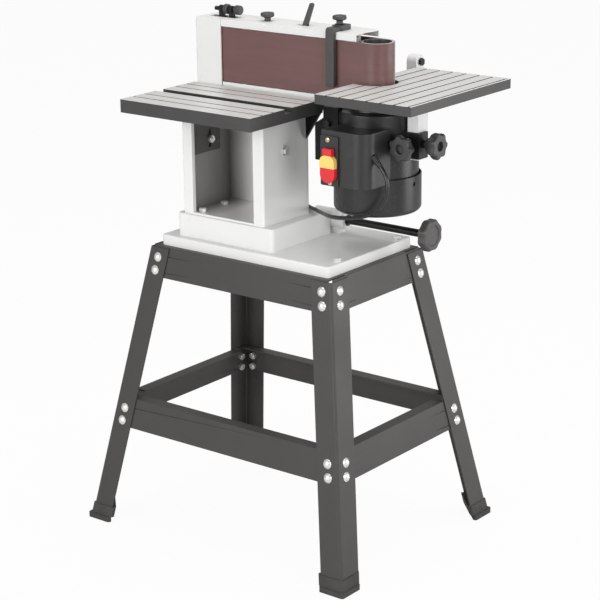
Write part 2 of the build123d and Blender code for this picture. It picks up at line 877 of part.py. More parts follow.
def motor_shaft():
    """The motor's shaft, with the nut that holds the drum at its top."""
    shaft = rod_z(drive_x, belt_y, motor_bottom + 8, belt_z + shaft_top, motor_shaft_r)
    nut_z = belt_z + drum_web_rise + drum_web + 14
    nut = extrude(RegularPolygon(11, 6, major_radius=False), amount=9)
    return shaft + Pos(drive_x, belt_y, nut_z) * nut


def cooling_fan():
    """The fan under the motor, inside its cover."""
    z0 = motor_bottom + 10
    fan = rod_z(drive_x, belt_y, z0, z0 + 4, fan_r * 0.6)
    fan += rod_z(drive_x, belt_y, z0, z0 + 22, drum_hub_r)
    blade = block(drum_hub_r - 2, fan_r, -1.5, 1.5, z0, z0 + 20)
    for i in range(fan_blades):
        fan += Pos(drive_x, belt_y, 0) * Rot(0, 0, i * 360 / fan_blades) * blade
    return fan - rod_z(drive_x, belt_y, z0 - 1, z0 + 30, motor_shaft_r)


def motor_body():
    """The motor: lower bell inside the fan cover, round shell and a neck up to the arm."""
    shell = rod_z(drive_x, belt_y, cover_top - 12, motor_top, motor_r)
    shell = fillet(shell.faces().sort_by(Axis.Z)[-1].edges(), shell_round)
    body = shell + rod_z(drive_x, belt_y, cover_top - 30, cover_top - 10, bell_r)
    body += rod_z(drive_x, belt_y, motor_top - 1, arm_bottom, neck_r)
    lug_end = fan_cover_r - fan_cover_wall - 2 * slip
    lug = block(motor_r - 3, lug_end, -lug_half, lug_half, cover_top - 18, cover_top - 3)
    for i in range(cover_screws):
        body += Pos(drive_x, belt_y, 0) * Rot(0, 0, cover_screw_angle + 360 * i / cover_screws) * lug
    return body - rod_z(drive_x, belt_y, motor_bottom, arm_bottom + 1, motor_shaft_r + running)


def fan_cover():
    """The cup round the fan, with a ring of air slots in its floor and three screw holes."""
    cup = rod_z(drive_x, belt_y, motor_bottom, cover_top, fan_cover_r)
    cup = fillet(cup.faces().sort_by(Axis.Z)[0].edges(), fan_cover_round)
    inside_r = fan_cover_r - fan_cover_wall
    inside = rod_z(drive_x, belt_y, motor_bottom + fan_cover_wall, cover_top + 1, inside_r)
    cup -= fillet(inside.faces().sort_by(Axis.Z)[0].edges(), fan_cover_round - fan_cover_wall)
    slot = block(24, 56, -3, 3, motor_bottom - 1, motor_bottom + 3)
    for i in range(12):
        cup -= Pos(drive_x, belt_y, 0) * Rot(0, 0, 30 * i) * slot
    hole = rod_x(motor_r, fan_cover_r + 1, 0, cover_top - cover_screw_drop, cover_screw_r)
    for i in range(cover_screws):
        cup -= Pos(drive_x, belt_y, 0) * Rot(0, 0, cover_screw_angle + 360 * i / cover_screws) * hole
    return cup


def mount_plate():
    """The black sheet bracket under the arm: switch carrier, flange and stiffening gusset."""
    neck_edge = drive_x - neck_r - 2
    low = arm_bottom - arm_plate
    back = gusset_front + gusset_thick
    plate = block(gusset_left - 2, neck_edge, 0, back, low, arm_bottom)
    carrier_y = box_rear_left() - mount_thick
    neck_front = belt_y - neck_r - 2
    plate += block(mount_neck, box_left, carrier_y, neck_front, low, arm_bottom)
    plate += block(mount_neck, neck_edge, neck_front - 1, 1, low, arm_bottom)
    carrier = [
        (mount_left, arm_bottom - mount_drop),
        (box_left, arm_bottom - mount_drop),
        (box_left, arm_bottom),
        (mount_neck, arm_bottom),
        (mount_neck, arm_bottom - mount_notch),
        (mount_left, arm_bottom - mount_shoulder),
    ]
    plate += plate_xz(carrier, carrier_y, carrier_y + mount_thick)
    gusset = [(gusset_left, arm_bottom), (gusset_right, arm_bottom), (gusset_left, arm_bottom - gusset_drop)]
    return plate + plate_xz(gusset, gusset_front, back)


def box_rear_left():
    """Where the switch box's left face meets the round motor."""
    return belt_y - sqrt(motor_r ** 2 - (drive_x - box_left) ** 2) - 0.6


def switch_box():
    """The switch box: a box with one big rounded corner, hollowed to sit on the motor's shell."""
    box = block(box_left, box_right, box_front, belt_y - motor_r / 2, box_bottom, box_top)
    box = fillet(box.edges().filter_by(Axis.Z).sort_by(Axis.Y)[:2].sort_by(Axis.X)[-1], box_corner)
    box = fillet(box.faces().sort_by(Axis.Z)[-1].edges().sort_by(Axis.Y)[:2], 2)
    box -= rod_z(drive_x, belt_y, box_bottom - 1, box_top + 1, motor_r)
    return box - rod_z(drive_x, belt_y, box_bottom - 1, cover_top + slip, fan_cover_r + slip)


def switch_plate():
    plate = block(box_left, box_left + plate_width, box_front - plate_thick, box_front,
                  box_bottom, box_top - plate_top_gap)
    return fillet(plate.edges().filter_by(Axis.Y), 3)


def paddle():
    """The stop paddle: a rounded lower cap, a thin back behind the key and a hinged stem."""
    rear = box_front - plate_thick - slip
    front = rear - paddle_depth
    right = paddle_left + paddle_width
    middle = paddle_left + paddle_width / 2
    low = paddle_top - paddle_height
    key_top = paddle_top - key_drop
    key_bottom = key_top - key_height
    cap = block(paddle_left, right, front, rear, low, key_bottom - slip)
    cap = fillet(cap.edges().filter_by(Axis.Y).sort_by(Axis.Z)[:2], paddle_width * 0.48)
    cap = fillet(cap.faces().sort_by(Axis.Y)[0].edges(), 2)
    half = paddle_stem / 2
    back = block(middle - half, middle + half, rear - paddle_back, rear, key_bottom - 4, paddle_top)
    stem = block(middle - half, middle + half, front, rear, key_top + slip, paddle_top)
    stem = fillet(stem.faces().sort_by(Axis.Y)[0].edges().sort_by(Axis.Z)[-1], paddle_hinge)
    body = cap + back + stem
    top_edge = body.edges().filter_by(Axis.X).filter_by_position(Axis.Y, rear, rear)
    return fillet(top_edge.sort_by(Axis.Z)[-1], paddle_hinge)


def safety_key():
    """The removable key: a wide shouldered cap that straddles the paddle's thin back."""
    rear = box_front - plate_thick - slip
    front = rear - paddle_depth - 1
    right = paddle_left + paddle_width
    middle = paddle_left + paddle_width / 2
    key_top = paddle_top - key_drop
    key = block(paddle_left, right, front, rear - slip, key_top - key_height, key_top)
    key = fillet(key.edges().filter_by(Axis.Y).sort_by(Axis.Z)[2:], key_round)
    key = fillet(key.faces().sort_by(Axis.Y)[0].edges(), 1)
    half = paddle_stem / 2 + slip
    groove_front = rear - paddle_back - slip
    low = key_top - key_height - 1
    return key - block(middle - half, middle + half, groove_front, rear + 1, low, key_top + 1)


def idler_drum():
    """The free drum at the left end, bored to run on its axle."""
    drum = rod_z(idler_x, belt_y, belt_z + 0.6, belt_top - 0.6, drum_r)
    for z in (belt_z, belt_top - 12):
        recess = rod_z(idler_x, belt_y, z, z + 12, drum_r - drum_wall)
        drum -= recess - rod_z(idler_x, belt_y, z, z + 12, drum_hub_r)
    return drum - rod_z(idler_x, belt_y, belt_z, belt_top, idler_axle_r + running)


def yoke_right():
    return idler_x + drum_r + yoke_gap + yoke_web


def idler_axle():
    return rod_z(idler_x, belt_y, arm_top + 1, yoke_top() - yoke_cap, idler_axle_r)


def yoke_top():
    return belt_top + 1.4 + yoke_arm


def idler_carriage():
    """The yoke round the idler with its guide bar and the two posts of the tracking screw."""
    y0 = belt_y - yoke_half
    y1 = belt_y + yoke_half
    left = idler_x - 2 * idler_axle_r
    right = yoke_right()
    low = arm_top + 1
    body = block(right - yoke_web, right, y0, y1, low, yoke_top())
    body += block(left, right, y0, y1, yoke_top() - yoke_arm, yoke_top())
    body += block(left, right, y0, y1, low, low + yoke_lower_arm)
    z = belt_z + bar_rise
    bar_end = lever_x - lever_nose_r - slip
    body += block(right - 1, bar_end, belt_y - bar_half, belt_y + bar_half, z - bar_half, z + bar_half)
    screw_z = cap_top + track_lift
    for x in (idler_x, idler_x + track_post):
        x0 = x - track_post_half
        x1 = x + track_post_half
        body += block(x0, x1, belt_y - 5, belt_y + 5, yoke_top() - 1, screw_z)
        body += rod_x(x0, x1, belt_y, screw_z, track_screw_r + 3)
    body -= rod_x(left, right, belt_y, screw_z, track_screw_r + running)
    return body - rod_z(idler_x, belt_y, low - 1, yoke_top() - yoke_cap, idler_axle_r)


def tracking_screw():
    """The tracking screw with its knurled lock wheel and thumb knob."""
    z = cap_top + track_lift
    wheel = idler_x + (track_post - track_wheel) / 2
    knob = idler_x + track_post + 2 * track_post_half
    screw = rod_x(idler_x - 4 * track_post_half, knob + track_knob, belt_y, z, track_screw_r)
    screw += rod_x(wheel, wheel + track_wheel, belt_y, z, track_wheel_r)
    return screw + rod_x(knob, knob + track_knob, belt_y, z, track_knob_r)


def tension_lever():
    """The quick-release lever: a leaning handle above its pin, a round cam nose below it."""
    z = cap_top - lever_pivot_drop
    y0 = belt_y - lever_thick / 2
    y1 = belt_y + lever_thick / 2
    half = lever_width / 2
    tip = lever_tip / 2
    outline = [(-half, -lever_pin_r), (half, -lever_pin_r), (tip, lever_reach), (-tip, lever_reach)]
    handle = plate_xz(outline, y0, y1)
    handle = fillet(handle.edges().filter_by(Axis.Y).sort_by(Axis.Z)[2:], 0.8 * tip)
    lever = Pos(lever_x, 0, z) * Rot(0, lever_lean, 0) * handle
    lever += block(lever_x - lever_shank / 2, lever_x + lever_shank / 2, y0, y1, z - lever_arm, z)
    lever += rod_y(lever_x, y0, y1, z, half + 2)
    lever += rod_y(lever_x, y0, y1, z - lever_arm, lever_nose_r)
    return lever + rod_y(lever_x, y1 - 1, core_front - slip, z, lever_pin_r)


def star_knob(stud):
    """A small star knob along +Z with a stem and a stud below it."""
    knob = Pos(0, 0, star_stem) * lobed(star_knob_r, hand_knob_lobes, star_knob_height)
    return knob + rod_z(0, 0, 0, star_stem + 1, star_stem_r) + rod_z(0, 0, -stud, 1, stud_r)


def cover_knob():
    return Pos(cover_knob_x, belt_y, cap_top + slip) * star_knob(10)


def stop_bar():
    """The work stop: a bar in front of the belt, bent over the top plate into a slotted block."""
    x0 = stop_x - stop_width / 2
    x1 = stop_x + stop_width / 2
    z0 = cap_top + slip
    y1 = arm_front - slip
    slot_front = stop_knob_y - stud_r - 0.5
    slot_rear = stop_knob_y + stop_travel + stud_r + 0.5
    bar = block(x0, x1, y1 - stop_thick, y1, belt_z + stop_bottom, z0 + stop_thick)
    bar += block(x0, x1, y1 - stop_thick, slot_front, z0, z0 + stop_thick)
    outside = bar.edges().filter_by(Axis.X).filter_by_position(Axis.Y, y1 - stop_thick, y1 - stop_thick)
    bar = fillet(outside.sort_by(Axis.Z)[-1], stop_bend)
    wide = stop_block_width / 2
    bar += block(stop_x - wide, stop_x + wide, slot_front - 5, slot_rear + 4, z0, z0 + stop_block)
    half = stud_r + 0.5
    return bar - block(stop_x - half, stop_x + half, slot_front, slot_rear, z0 - 1, z0 + stop_block + 1)


def stop_knob():
    """The star knob that clamps the work stop, with a washer under its stem."""
    z = cap_top + 2 * slip + stop_block
    stud = stop_block + stop_washer + housing_sheet + 6
    knob = Pos(stop_x, stop_knob_y, z + stop_washer) * star_knob(stud)
    return knob + rod_z(stop_x, stop_knob_y, z, z + stop_washer, star_stem_r + 3)


def rear_post():
    """The post behind the end table: an upright with a round head on a beam under the arm."""
    middle = post_front + post_depth / 2
    head_z = post_top - post_depth / 2
    beam_bottom = arm_bottom - post_beam
    post = block(post_left, post_right, post_front, post_front + post_depth, beam_bottom, head_z)
    post += rod_x(post_left, post_right, middle, head_z, post_depth / 2)
    return post + block(post_left, post_right, beam_front, post_front + 1, beam_bottom, arm_bottom)


def arm_bolts():
    """Hex bolt heads of the arm: post head, beam, tilt flange and switch carrier."""
    middle = post_front + post_depth / 2
    spots = [Plane(origin=(post_right, middle, post_top - post_depth / 2), z_dir=(1, 0, 0))]
    beam_under = arm_bottom - post_beam
    beam_x = (post_left + post_right) / 2
    first = beam_front + beam_bolt_inset
    for y in (first, first + beam_bolt_pitch):
        spots.append(Plane(origin=(beam_x, y, beam_under), z_dir=(0, 0, -1)))
    flange_x = (hub_right + tilt_flange_right) / 2
    for y in (web_front + 10, web_rear - 20):
        spots.append(Plane(origin=(flange_x, y, arm_bottom - arm_plate), z_dir=(0, 0, -1)))
    carrier_y = box_rear_left() - mount_thick
    carrier_bolt = (mount_neck + 10, carrier_y, arm_bottom - carrier_bolt_drop)
    spots.append(Plane(origin=carrier_bolt, z_dir=(0, -1, 0)))
    head = extrude(RegularPolygon(nut_flat / 2, 6, major_radius=False), amount=bolt_head)
    return Compound([spot * head for spot in spots])


def end_table():
    """The end table: a grooved casting with a round-ended notch for the drum."""
    x0, x1, y0, y1 = end_left, end_right, end_front, end_rear
    table = hollow_table(x0, x1, y0, y1, end_bottom, end_top, end_skin, end_skirt)
    wall = notch_r + end_skirt
    table += rod_z(drive_x, belt_y, end_bottom, end_top - 1, wall)
    table += block(x0, drive_x, belt_y - wall, belt_y + wall, end_bottom, end_top - 1)
    table &= block(x0, x1, y0, y1, end_bottom, end_top)
    table -= rod_z(drive_x, belt_y, end_bottom - 1, end_top + 1, notch_r)
    table -= block(x0 - 1, drive_x, belt_y - notch_r, belt_y + notch_r, end_bottom - 1, end_top + 1)
    pitch = (x1 - x0 - end_groove_first - end_groove_last) / (end_grooves - 1)
    for i in range(end_grooves):
        x = x0 + end_groove_first + pitch * i - groove_width / 2
        table -= block(x, x + groove_width, y0 - 1, y1 + 1, end_top - groove_depth, end_top + 1)
    return table


def table_bar():
    """The white bar that carries the end table, with a flat foot under the table's skin."""
    bar = block(bar_left, bar_right, bar_front, bar_rear, bar_bottom, end_under)
    x0, x1 = bar_left - bar_boss, bar_right + bar_boss
    return bar + block(x0, x1, bar_front - bar_boss, bar_rear + bar_boss, end_under - bar_boss, end_under)


def bar_clamp():
    """The black clamp on the motor's side: a front wall, a right wall and a rear wall round the bar."""
    front = bar_front - slip - clamp_wall
    right = bar_right + slip + clamp_wall
    motor_side = drive_x + motor_r - 2 * clamp_wall
    clamp = block(motor_side, right, front, front + clamp_reach, clamp_bottom, clamp_top)
    rear = bar_rear + slip + clamp_wall
    clamp += block(motor_side, bar_right - clamp_wall, front, rear, clamp_bottom, clamp_top)
    clamp -= block(bar_left - slip, bar_right + slip, bar_front - slip, bar_rear + slip,
                   clamp_bottom - 1, clamp_top + 1)
    return clamp - rod_z(drive_x, belt_y, clamp_bottom - 1, clamp_top + 1, motor_r)


def hand_knob():
    """A seven-lobed hand knob along +Z: a nut, a tapered hub and a recessed lobed disc."""
    disc_z = hand_knob_stem + hand_knob_hub
    knob = Pos(0, 0, disc_z) * lobed(hand_knob_r, hand_knob_lobes, hand_knob_disc)
    knob = chamfer(knob.faces().sort_by(Axis.Z)[-1].edges(), 1.5)
    hub = Pos(0, 0, hand_knob_stem) * Circle(hand_knob_r * 0.5)
    hub_end = Pos(0, 0, disc_z + 1) * Circle(hand_knob_r * 0.62)
    knob += loft([hub, hub_end], ruled=True)
    nut = extrude(RegularPolygon(nut_flat / 2, 6, major_radius=False), amount=hand_knob_stem + 1 - slip)
    knob += Pos(0, 0, slip) * nut
    top = disc_z + hand_knob_disc
    return knob - rod_z(0, 0, top - hand_knob_recess, top + 1, hand_knob_recess)


def front_knob():
    x = (bar_left + bar_right) / 2
    y = bar_front - slip - clamp_wall
    return Plane(origin=(x, y, arm_bottom + front_knob_z), z_dir=(0, -1, 0)) * hand_knob()


def side_knob():
    x = bar_right + slip + clamp_wall
    return Plane(origin=(x, side_knob_y, arm_bottom + side_knob_z), z_dir=(1, 0, 0)) * hand_knob()


# Cord: gland, stretch on the arm, stretch on the base, coil and plug
def gland_start():
    return Vector(box_right, gland_y, box_top - gland_drop)


def gland_way():
    return Vector(cos(radians(gland_dip)), 0, -sin(radians(gland_dip)))


def strain_relief():
    """The tapered sleeve that the cord leaves the switch box through."""
    plane = Plane(origin=gland_start() - gland_way() * 4, z_dir=gland_way())
    wide = plane * Circle(cord_r + 3.4)
    narrow = plane.offset(gland_length + 4) * Circle(cord_r + 1.2)
    sleeve = loft([wide, narrow], ruled=True)
    return sleeve - block(box_left, box_right, box_front, 0, box_bottom, box_top)


def arm_route():
    """The cord's corner points from its gland down past the motor to the tilt pivot."""
    start = gland_start() + gland_way() * gland_length
    return [
        start,
        start + gland_way() * 19,
        Vector(281, -64.2, 718.6),
        Vector(278.6, -66.6, 695),
        Vector(266.5, -68.2, 675),
        Vector(246.5, -68.5, 660),
        Vector(218.5, -65.8, 650.5),
        Vector(188, -61.5, 643.6),
        Vector(158, -53.8, 638.6),
        Vector(131, -39.5, 634.4),
        Vector(110.5, -23.2, 631),
        Vector(90.7, -7.2, 627.9),
        split_point(),
    ]


def split_point():
    """Where the cord passes from the arm to the base, in front of the tilt pivot."""
    return Vector(71.4, 8.4, 624.8)


def base_route():
    """The cord's corner points from the tilt pivot over the step to the coil behind it."""
    before, start = arm_route()[-2:]
    loop, way = coil_point(0)
    end = loop - way * coil_lead
    return [
        start,
        start + (start - before).normalized() * 22,
        Vector(26, 40.8, 618.6),
        Vector(3, 57, 618.6),
        Vector(-16, 73, 617.2),
        Vector(-34, 88, 608),
        Vector(-50, 100, 594.5),
        Vector(-66, 110.6, 582),
        Vector(-83.5, 117.5, 574.8),
        end - way * coil_approach,
        end,
    ]


def coil_level():
    return base_top + cord_r


def cord_tube(points, name):
    """A round tube of straight runs joined by tangent arcs through hand-chosen corners."""
    path = bend(points, name)
    first = Plane(origin=points[0], z_dir=points[1] - points[0])
    tube = sweep(first * Circle(cord_r), path=path)
    fill = tube.volume / (pi * cord_r ** 2 * path.length)
    print(name, "length", round(path.length, 1), "volume over section times length", round(fill, 4))
    return tube


def bend(points, name):
    """A wire of lines and arcs; each arc takes up 45 percent of the shorter run beside it."""
    edges = []
    radii = []
    start = points[0]
    for before, corner, after in zip(points, points[1:], points[2:]):
        way_in = (corner - before).normalized()
        way_out = (after - corner).normalized()
        half = radians(way_in.get_angle(way_out)) / 2
        cut = 0.45 * min((corner - before).length, (after - corner).length)
        radii.append(round(cut / tan(half), 1))
        arc_start = corner - way_in * cut
        arc_end = corner + way_out * cut
        edges.append(Line(start, arc_start))
        edges.append(TangentArc(arc_start, arc_end, tangent=way_in))
        start = arc_end
    edges.append(Line(start, points[-1]))
    print(name, "bend radii", radii)
    return Wire(edges)


def coil_point(turn):
    """Centre line of the coil after a number of turns, and its direction there."""
    angle = 2 * pi * turn
    pitch = 2 * cord_r + coil_gap
    middle_z = coil_level() + coil_r
    point = Vector(coil_x - coil_r * sin(angle), coil_y - pitch * turn, middle_z - coil_r * cos(angle))
    way = Vector(-coil_r * cos(angle), -pitch / (2 * pi), coil_r * sin(angle))
    return point, way.normalized()


def biarc(p0, t0, p1, t1):
    """Two arcs that leave p0 along t0 and reach p1 along t1."""
    v = p1 - p0
    t = t0 + t1
    square = 2 * (1 - t0.dot(t1))
    reach = (-v.dot(t) + sqrt(v.dot(t) ** 2 + square * v.dot(v))) / square
    joint = (p0 + t0 * reach + p1 - t1 * reach) * 0.5
    middle_way = (p1 - t1 * reach - p0 - t0 * reach).normalized()
    return [TangentArc(p0, joint, tangent=t0), TangentArc(joint, p1, tangent=middle_way)]


def cord_coil():
    """The put-away length: one unbroken tube in side by side turns, straight at both ends."""
    quarters = 4 * coil_turns
    edges = []
    start, way = coil_point(0)
    edges.append(Line(start - way * coil_lead, start))
    for i in range(quarters):
        p0, t0 = coil_point(i / 4)
        p1, t1 = coil_point((i + 1) / 4)
        edges += biarc(p0, t0, p1, t1)
    end, end_way = coil_point(coil_turns)
    edges.append(Line(end, end + end_way * coil_tail))
    path = Wire(edges)
    samples = [edge.position_at(k / 6) for edge in edges[1:-1] for k in range(6)]
    half_turn = 24
    gaps = []
    for i, a in enumerate(samples):
        for b in samples[i + half_turn:]:
            gaps.append((a - b).length - 2 * cord_r)
    print("cord_coil length", round(path.length, 1), "least gap to itself", round(min(gaps), 3))
    first = Plane(origin=start - way * coil_lead, z_dir=way)
    return sweep(first * Circle(cord_r), path=path)


def plug():
    """A moulded two-blade plug with an earth pin, lying on the base plate beside the coil."""
    end, way = coil_point(coil_turns)
    tip = end + way * coil_tail
    y = tip.Y
    z = base_top + plug_half_z
    shoulder = tip.X - plug_neck
    face = tip.X - plug_length
    neck = loft([
        Plane(origin=tip, z_dir=way) * Circle(cord_r),
        Plane(origin=(shoulder, y, z), z_dir=(-1, 0, 0)) * Circle(cord_r + 3),
    ], ruled=True)
    grip = block(face, shoulder + 1, y - plug_half_y, y + plug_half_y, z - plug_half_z, z + plug_half_z)
    body = neck + fillet(grip.edges().filter_by(Axis.X), 5)
    for dy in (-blade_gap / 2, blade_gap / 2):
        blade_y = y + dy
        body += block(face - blade_length, face + 1, blade_y - 0.75, blade_y + 0.75, z - 5.2, z + 1.2)
    return body + rod_x(face - blade_length - 2, face + 1, y, z + 4.6, 2.4)


def build():
    os.makedirs("parts", exist_ok=True)
    stand()
    place("base_casting", base_casting())
    place("base_bolts", base_bolts())
    place("pedestal", pedestal())
    place("main_table", main_table())
    place("table_bracket", table_bracket())
    place("table_lock_bolts", table_lock_bolts())
    place("pivot_shaft", pivot_shaft())
    place("tilt_bracket", tilt_bracket())
    place("lock_rod", lock_rod())
    place("lock_knob", lock_knob())
    place("arm_frame", arm_frame())
    place("platen", platen())
    place("top_plate", top_plate())
    place("end_cover", end_cover() + end_cover_tabs())
    place("sanding_belt", sanding_belt())
    place("drive_drum", drive_drum())
    place("motor_shaft", motor_shaft())
    place("cooling_fan", cooling_fan())
    place("motor_body", motor_body())
    place("fan_cover", fan_cover())
    place("mount_plate", mount_plate())
    place("switch_box", switch_box())
    place("switch_plate", switch_plate())
    place("paddle", paddle())
    place("safety_key", safety_key())
    place("idler_drum", idler_drum())
    place("idler_axle", idler_axle())
    place("idler_carriage", idler_carriage())
    place("tracking_screw", tracking_screw())
    place("tension_lever", tension_lever())
    place("cover_knob", cover_knob())
    place("stop_bar", stop_bar())
    place("stop_knob", stop_knob())
    place("rear_post", rear_post())
    place("arm_bolts", arm_bolts())
    place("end_table", end_table())
    place("table_bar", table_bar())
    place("bar_clamp", bar_clamp())
    place("front_knob", front_knob())
    place("side_knob", side_knob())
    place("strain_relief", strain_relief())
    place("cord_arm", cord_tube(arm_route(), "cord_arm"))
    place("cord_base", cord_tube(base_route(), "cord_base"))
    place("cord_coil", cord_coil())
    place("plug", plug())


build()
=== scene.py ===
"""A belt sander on a splayed stand, dressed for the photograph's view.

Metres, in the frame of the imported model: +X along the belt, +Y to the back, +Z up.
Small sizes are written in millimetres and multiplied by mm; a profile's rows are in millimetres.
"""

import json
from math import cos, pi, radians, sin

import bmesh
import bpy
import numpy as np
from mathutils import Matrix, Vector


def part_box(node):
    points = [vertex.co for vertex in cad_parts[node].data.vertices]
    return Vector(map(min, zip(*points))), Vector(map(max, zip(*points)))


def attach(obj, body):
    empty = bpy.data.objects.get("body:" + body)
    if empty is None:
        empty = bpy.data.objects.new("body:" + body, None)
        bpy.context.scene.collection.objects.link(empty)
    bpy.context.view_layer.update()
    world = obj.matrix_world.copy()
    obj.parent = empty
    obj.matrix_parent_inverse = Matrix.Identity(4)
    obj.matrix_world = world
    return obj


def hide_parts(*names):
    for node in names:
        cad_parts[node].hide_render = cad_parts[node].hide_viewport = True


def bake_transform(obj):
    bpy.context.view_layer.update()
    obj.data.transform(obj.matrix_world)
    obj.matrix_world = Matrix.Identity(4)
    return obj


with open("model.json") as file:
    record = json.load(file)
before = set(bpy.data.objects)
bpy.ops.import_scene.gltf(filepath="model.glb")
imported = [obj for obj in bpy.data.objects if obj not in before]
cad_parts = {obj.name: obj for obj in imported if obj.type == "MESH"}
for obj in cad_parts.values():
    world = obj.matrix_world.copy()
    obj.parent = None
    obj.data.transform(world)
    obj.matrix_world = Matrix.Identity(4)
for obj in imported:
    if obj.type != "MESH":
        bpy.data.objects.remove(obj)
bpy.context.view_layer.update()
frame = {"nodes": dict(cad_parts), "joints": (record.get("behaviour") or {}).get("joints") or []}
nodes = frame["nodes"]
mm = 0.001

# Studio: a plain pale floor in a white room, soft panels at the front left and front right, a low one
# behind on the right for the edges and a wide one overhead, as in a catalogue picture.
# The floor shows as near white and still takes the machine's shadow.
scene = bpy.context.scene
scene.view_settings.view_transform = "Standard"
floor_half = 9.0
floor_grey = 0.62
floor_white = 0.95
room_light = 0.42


def feed(tree, source, socket):
    """Links a source to a socket, or sets the socket where the source is a constant."""
    if isinstance(source, bpy.types.NodeSocket):
        tree.links.new(source, socket)
    else:
        socket.default_value = source


def product(tree, first, second):
    """Two values multiplied; each is a socket or a constant."""
    times = tree.nodes.new("ShaderNodeMath")
    times.operation = "MULTIPLY"
    feed(tree, first, times.inputs[0])
    feed(tree, second, times.inputs[1])
    return times.outputs[0]


def seen_directly(tree):
    """One where a ray comes straight from the camera, nought where it carries light or a reflection."""
    path = tree.nodes.new("ShaderNodeLightPath")
    return path.outputs["Is Camera Ray"]


def blank_material(name):
    """A new material, with its node tree and its shader."""
    material = bpy.data.materials.new(name)
    material.use_nodes = True
    tree = material.node_tree
    return material, tree, tree.nodes["Principled BSDF"]


floor_paint, floor_tree, floor_shader = blank_material("studio_white")
floor_shader.inputs["Base Color"].default_value = (floor_grey, floor_grey, floor_grey, 1.0)
floor_shader.inputs["Roughness"].default_value = 0.9
floor_shader.inputs["Specular IOR Level"].default_value = 0.1
floor_glow = floor_tree.nodes.new("ShaderNodeEmission")
floor_mix = floor_tree.nodes.new("ShaderNodeMixShader")
floor_out = floor_tree.nodes["Material Output"]
floor_share = product(floor_tree, seen_directly(floor_tree), floor_white)
floor_tree.links.new(floor_share, floor_mix.inputs["Fac"])
floor_tree.links.new(floor_shader.outputs["BSDF"], floor_mix.inputs[1])
floor_tree.links.new(floor_glow.outputs["Emission"], floor_mix.inputs[2])
floor_tree.links.new(floor_mix.outputs["Shader"], floor_out.inputs["Surface"])

floor_mesh = bpy.data.meshes.new("studio_floor")
floor_sides = ((-1, -1), (1, -1), (1, 1), (-1, 1))
floor_corners = [(sx * floor_half, sy * floor_half, 0.0) for sx, sy in floor_sides]
floor_mesh.from_pydata(floor_corners, [], [(0, 1, 2, 3)])
floor_mesh.materials.append(floor_paint)
floor = bpy.data.objects.new("studio_floor", floor_mesh)
scene.collection.objects.link(floor)

room = bpy.data.worlds.new("studio_room")
room.use_nodes = True
scene.world = room
room_tree = room.node_tree
room_glow = room_tree.nodes["Background"]
room_glow.inputs["Color"].default_value = (1.0, 1.0, 1.0, 1.0)
room_level = room_tree.nodes.new("ShaderNodeMapRange")
room_level.inputs["To Min"].default_value = room_light
room_level.inputs["To Max"].default_value = 1.0
room_tree.links.new(seen_directly(room_tree), room_level.inputs["Value"])
room_tree.links.new(room_level.outputs["Result"], room_glow.inputs["Strength"])


def soft_panel(name, place, aim, width, height, power):
    """A rectangular area lamp at a place, facing a height on the machine's middle line."""
    lamp = bpy.data.lights.new(name, "AREA")
    lamp.shape = "RECTANGLE"
    lamp.size = width
    lamp.size_y = height
    lamp.energy = power
    holder = bpy.data.objects.new(name, lamp)
    holder.location = place
    facing = Vector((0.0, 0.0, aim)) - Vector(place)
    holder.rotation_euler = facing.to_track_quat("-Z", "Y").to_euler()
    scene.collection.objects.link(holder)


soft_panel("front_panel", place=(-0.6, -3.7, 1.5), aim=0.7, width=2.4, height=1.8, power=84.0)
soft_panel("side_panel", place=(3.3, -1.6, 1.6), aim=0.6, width=1.6, height=2.0, power=50.0)
soft_panel("edge_panel", place=(2.8, 1.9, 0.9), aim=0.5, width=1.6, height=1.8, power=44.0)
soft_panel("top_panel", place=(0.2, 0.3, 3.6), aim=0.6, width=2.6, height=2.6, power=78.0)

# Camera: the photograph's standpoint, fitted to corners of the stand, tables and arm.
# It looks from the front right, a little down, with a small shift for the photo's framing.
camera_azimuth = radians(38.50)
camera_pitch = radians(17.30)
camera_roll = radians(-0.78)
camera_place = Vector((2.17469, -2.76700, 1.52996))
level_ahead = Vector((-sin(camera_azimuth), cos(camera_azimuth), 0.0))
ahead = level_ahead * cos(camera_pitch) - Vector((0.0, 0.0, sin(camera_pitch)))
level_right = Vector((cos(camera_azimuth), sin(camera_azimuth), 0.0))
level_up = level_right.cross(ahead)
camera_right = level_right * cos(camera_roll) + level_up * sin(camera_roll)
camera_up = level_up * cos(camera_roll) - level_right * sin(camera_roll)
lens = bpy.data.cameras.new("photo_camera")
lens.sensor_width = 36.0
lens.lens = 116.61
lens.shift_x = 0.0210
lens.shift_y = 0.0106
camera = bpy.data.objects.new("photo_camera", lens)
turn = Matrix((camera_right, camera_up, -ahead)).transposed()
camera.matrix_world = Matrix.Translation(camera_place) @ turn.to_4x4()
scene.collection.objects.link(camera)
scene.camera = camera

# Stand: four bent legs, four top rails and four braces in folded sheet steel,
# bolted together and finished in a dark warm-grey powder coat with a fine tooth.
# A noise mostly keeps within noise_reach, and points closer than weld_reach are one point.
noise_reach = (0.3, 0.7)
weld_reach = 1e-6


